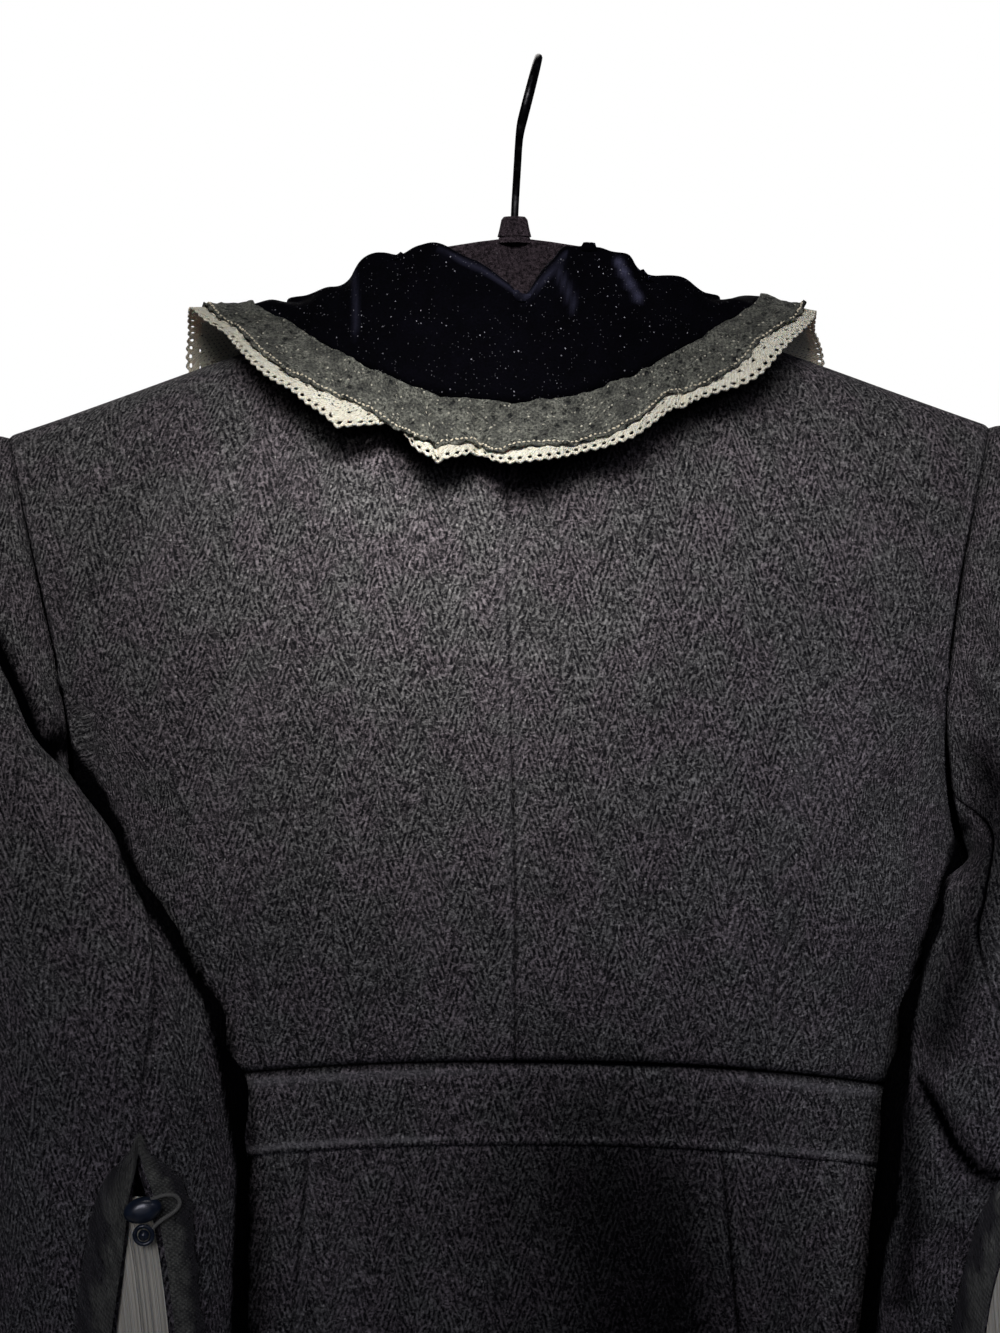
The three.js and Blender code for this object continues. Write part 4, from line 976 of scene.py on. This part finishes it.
# ---------------------------------------------------------------- vents of the sleeves
def vent(name):
    inside = in_sleeve(name)
    points = sheet_of(f"vent_lace_{name}", LACE, inside)
    if points.shape[0] < points.shape[1]:
        points = points.swapaxes(0, 1)[:, ::-1]
    points = resampled(points, np.linspace(0, 1, 150), np.linspace(0, 1, 18))
    across, down = lengths(points, 1), lengths(points, 0)
    reach = np.linalg.norm(points - points.mean((0, 1)), axis=2).mean(0)
    if reach[0] > reach[-1]:
        across = across[:, -1:] - across  # from the opening's edge outwards
    share = across / across.max(1, keepdims=True)
    ruffle = (0.9 * np.sin(down / (3.1 * MM)) + 0.6 * np.sin(down / (1.7 * MM) + 2)) * MM
    lift = np.sin(math.pi * share) * 1.1 * MM + ruffle * 0.7 * share
    points = points + normals(points) * lift[..., None]
    mesh, _ = grid_mesh(points, np.stack([down, across], axis=2))
    lace = finished(f"vent_lace_{name}_ruffle", mesh, lacework, [f"vent_lace_{name}"],
                    thickness=0.7 * MM)
    declared(points)

    points = sheet_of(f"vent_insert_{name}", LACE, inside)
    points = resampled(points, np.linspace(0, 1, 120), np.linspace(0, 1, 40))
    across, down = lengths(points, 0), lengths(points, 1)
    pleats = np.sin(across / (2.1 * MM) + 0.8 * np.sin(down / (23 * MM)))
    inwards = 0.8 * MM * pleats * np.clip(down / (20 * MM), 0.2, 1)
    points = points + normals(points) * inwards[..., None]
    mesh, _ = grid_mesh(points, np.stack([across, down * 0], axis=2))
    insert = finished(f"vent_insert_{name}_gathers", mesh, cotton, [f"vent_insert_{name}"],
                      thickness=0.6 * MM)
    declared(points)


for name in SIDES:
    vent(name)


# ---------------------------------------------------------------- buttons
def covered_button(node, finish, radius, height, oval=1.0, tilt=0.0):
    """A domed button with a drawn-in rim, where its solid stands."""
    low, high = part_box(node)
    centre = (low + high) / 2
    towards = Vector((0, math.copysign(1, centre.y), 0))
    mesh = bmesh.new()
    profile = [(0, 1.0), (0.35, 0.99), (0.62, 0.92), (0.84, 0.76), (0.97, 0.52), (1.0, 0.34),
               (0.97, 0.2), (0.9, 0.14), (0.8, 0.12), (0.5, 0.05), (0.3, 0.0), (0, 0.0)]
    verts = [mesh.verts.new((r * radius, 0, h * height)) for r, h in profile]
    edges = [mesh.edges.new(pair) for pair in zip(verts, verts[1:])]
    bmesh.ops.spin(mesh, geom=verts + edges, cent=(0, 0, 0), axis=(0, 0, 1), angle=2 * math.pi,
                   steps=40, use_merge=True, use_duplicate=False)
    bmesh.ops.remove_doubles(mesh, verts=mesh.verts, dist=1e-6)
    bmesh.ops.recalc_face_normals(mesh, faces=mesh.faces)
    turn = towards.to_track_quat("Z", "Y").to_matrix().to_4x4() @ Matrix.Rotation(tilt, 4, "Z")
    back = Matrix.Translation(centre - towards * (high.y - low.y) / 2)
    bmesh.ops.transform(mesh, matrix=back @ turn @ Matrix.Diagonal((oval, 1, 1, 1)), verts=mesh.verts)
    finished(node + "_covered", mesh, finish, [node], rounds=1)


for number in range(1, 6):
    covered_button(f"button_front_{number}", cover, 11 * MM, 4.8 * MM)
for name in SIDES:
    covered_button(f"button_vent_{name}", glass, 4.9 * MM, 4.6 * MM, oval=1.5, tilt=0.3 * SIDES[name])


def tube(name, path, radius, finish, replaces=()):
    """A round wire along a smooth path, closed at both ends."""
    line = bpy.data.curves.new(name, "CURVE")
    line.dimensions = "3D"
    line.bevel_depth = radius
    line.bevel_resolution = 3
    line.resolution_u = 10
    line.use_fill_caps = True
    spline = line.splines.new("NURBS")
    spline.points.add(len(path) - 1)
    for spot, where in zip(spline.points, path):
        spot.co = (*where, 1)
    spline.use_endpoint_u = True
    spline.order_u = 4
    drawn = bpy.data.objects.new(name + "_line", line)
    bpy.context.scene.collection.objects.link(drawn)
    mesh = bmesh.new()
    swept = drawn.evaluated_get(bpy.context.evaluated_depsgraph_get())
    mesh.from_mesh(bpy.data.meshes.new_from_object(swept))
    bpy.data.objects.remove(drawn)
    bmesh.ops.remove_doubles(mesh, verts=mesh.verts, dist=1e-6)
    return finished(name, mesh, finish, replaces)


# A cord is caught under each vent's button and ends in a ring with a bead, below it. Across from
# the button towards the body, and up, in millimetres.
CORD = [(-3, 4), (-6, 5.2), (-10, 6.2), (-13, 4.6), (-14, 2.2), (-12, -0.7), (-8, -3), (-5.2, -5),
        (-3.4, -7)]
RING = (-0.4, -9.2)
for name, side in SIDES.items():
    low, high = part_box(f"button_vent_{name}")
    middle = (low + high) / 2

    def on_lace(across, up, out=1.0):
        bend = 4.0 * (across / 14) ** 2
        return middle + Vector((side * across, out - bend + 0.11 * up, up)) * MM

    tube(f"vent_cord_{name}", [on_lace(x, z) for x, z in CORD], 0.75 * MM, cord)
    turn = [on_lace(RING[0] + 3.3 * math.cos(a), RING[1] + 3.4 * math.sin(a), 1.4)
            for a in np.linspace(0, 6.6, 22)]
    tube(f"vent_ring_{name}", turn, 0.85 * MM, glass)
    bead = bmesh.new()
    bmesh.ops.create_icosphere(bead, subdivisions=3, radius=2.1 * MM,
                               matrix=Matrix.Translation(on_lace(*RING, 1.6)))
    finished(f"vent_bead_{name}", bead, glass)


# ---------------------------------------------------------------- hanger and hook
LOOP, WIRE = 19.5, 1.55  # the radius of the hook's turn and of its wire, in millimetres
turns = [(LOOP * math.cos(a), WIRE - LOOP + LOOP * math.sin(a))
         for a in np.linspace(math.pi * 1.14, -math.pi * 0.24, 24)]
rise = [(0, -62), (0, -56), (0, -52), (-0.4, -47), (-3.0, -42), (-8, -37.5), (-12.5, -33)]
route = []
for y, z in rise + turns:
    lean = -2 * min(max((z + 60) / 33, 0), 1) - 7.4 * min(max((z + 27) / 28.55, 0), 1)
    route.append(((lean + 9.4) * MM, -y * MM, z * MM))
tube("hook_wire", route, WIRE * MM, wire, ["hook"])

low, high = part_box("hanger_neck")
foot = bmesh.new()
under_neck = (low + high) / 2
under_neck.z = low.z - 0.9 * MM
bmesh.ops.create_cone(foot, cap_ends=True, segments=48, radius1=6.8 * MM, radius2=5.6 * MM, depth=3.4 * MM,
                      matrix=Matrix.Translation(under_neck))
finished("hanger_neck_foot", foot, flocking).data.shade_flat()

for node in ("hanger", "hanger_neck"):
    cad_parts[node].material_slots[0].material = flocking


# ---------------------------------------------------------------- camera, light and floor
def lamp(name, place, aim, size, power, tint, spread=180):
    """A softbox. A narrow spread stands for a grid on it."""
    light = bpy.data.lights.new(name, "AREA")
    light.shape, light.spread = "RECTANGLE", math.radians(spread)
    light.energy, light.size, light.size_y, light.color = power, *size, tint
    made = bpy.data.objects.new(name, light)
    made.location = place
    made.rotation_euler = (Vector(aim) - Vector(place)).to_track_quat("-Z", "Y").to_euler()
    bpy.context.scene.collection.objects.link(made)


scene = bpy.context.scene
lens = bpy.data.cameras.new("camera")
lens.lens = 138.96
camera = bpy.data.objects.new("camera", lens)
camera.location = (0.015, 2.0, -0.2352)
camera.rotation_euler = (math.radians(90), 0, math.radians(180))
scene.collection.objects.link(camera)
scene.camera = camera

ground = bmesh.new()
bmesh.ops.create_grid(ground, x_segments=1, y_segments=1, size=1.6)
bmesh.ops.translate(ground, vec=(0, 0, -1.16), verts=ground.verts)
floor_mesh = bpy.data.meshes.new("floor")
ground.to_mesh(floor_mesh)
ground.free()
floor = bpy.data.objects.new("floor", floor_mesh)
scene.collection.objects.link(floor)
pale = Finish("floor_pale", roughness=0.8)
pale.colour(pale.blend(pale.noise(pale.point(), 0.01), rgb(0.80, 0.80, 0.79), rgb(0.86, 0.86, 0.85)))
floor.data.materials.append(pale.material)

world = bpy.data.worlds.new("studio")
scene.world = world
world.use_nodes = True
tree = world.node_tree
sky = tree.nodes["Background"]
sky.inputs["Strength"].default_value = 0.014
sky.inputs["Color"].default_value = rgb(0.66, 0.66, 1.0)
bright = tree.nodes.new("ShaderNodeBackground")
bright.inputs["Color"].default_value = rgb(1, 1, 1)
seen = tree.nodes.new("ShaderNodeLightPath")
either = tree.nodes.new("ShaderNodeMixShader")
tree.links.new(seen.outputs["Is Camera Ray"], either.inputs[0])
tree.links.new(sky.outputs[0], either.inputs[1])
tree.links.new(bright.outputs[0], either.inputs[2])
tree.links.new(either.outputs[0], tree.nodes["World Output"].inputs[0])

lamp("key", (0.03, 0.47, 0.15), (0.02, 0.05, -0.15), (0.46, 0.12), 0.33, (1.0, 0.97, 0.97), spread=48)
lamp("pool", (0.06, 0.42, 0.12), (0.040, 0.05, -0.187), (0.05, 0.05), 0.044, (1.0, 0.96, 0.94), spread=26)
lamp("side", (-0.20, 0.70, -0.12), (-0.155, 0.09, -0.345), (0.2, 0.2), 0.10, (0.86, 0.86, 1.0), spread=44)
lamp("low", (0.26, 0.70, -0.30), (0.19, 0.09, -0.43), (0.2, 0.2), 0.05, (0.86, 0.86, 1.0), spread=44)
lamp("fill", (-1.2, 1.4, 0.1), (0, 0, -0.4), (1.2, 1.2), 0.45, (0.66, 0.66, 1.0))
lamp("front", (0.4, -1.8, 0.6), (0, 0, -0.4), (1.4, 1.4), 16, (1.0, 0.97, 0.94))
scene.view_settings.view_transform = "Standard"
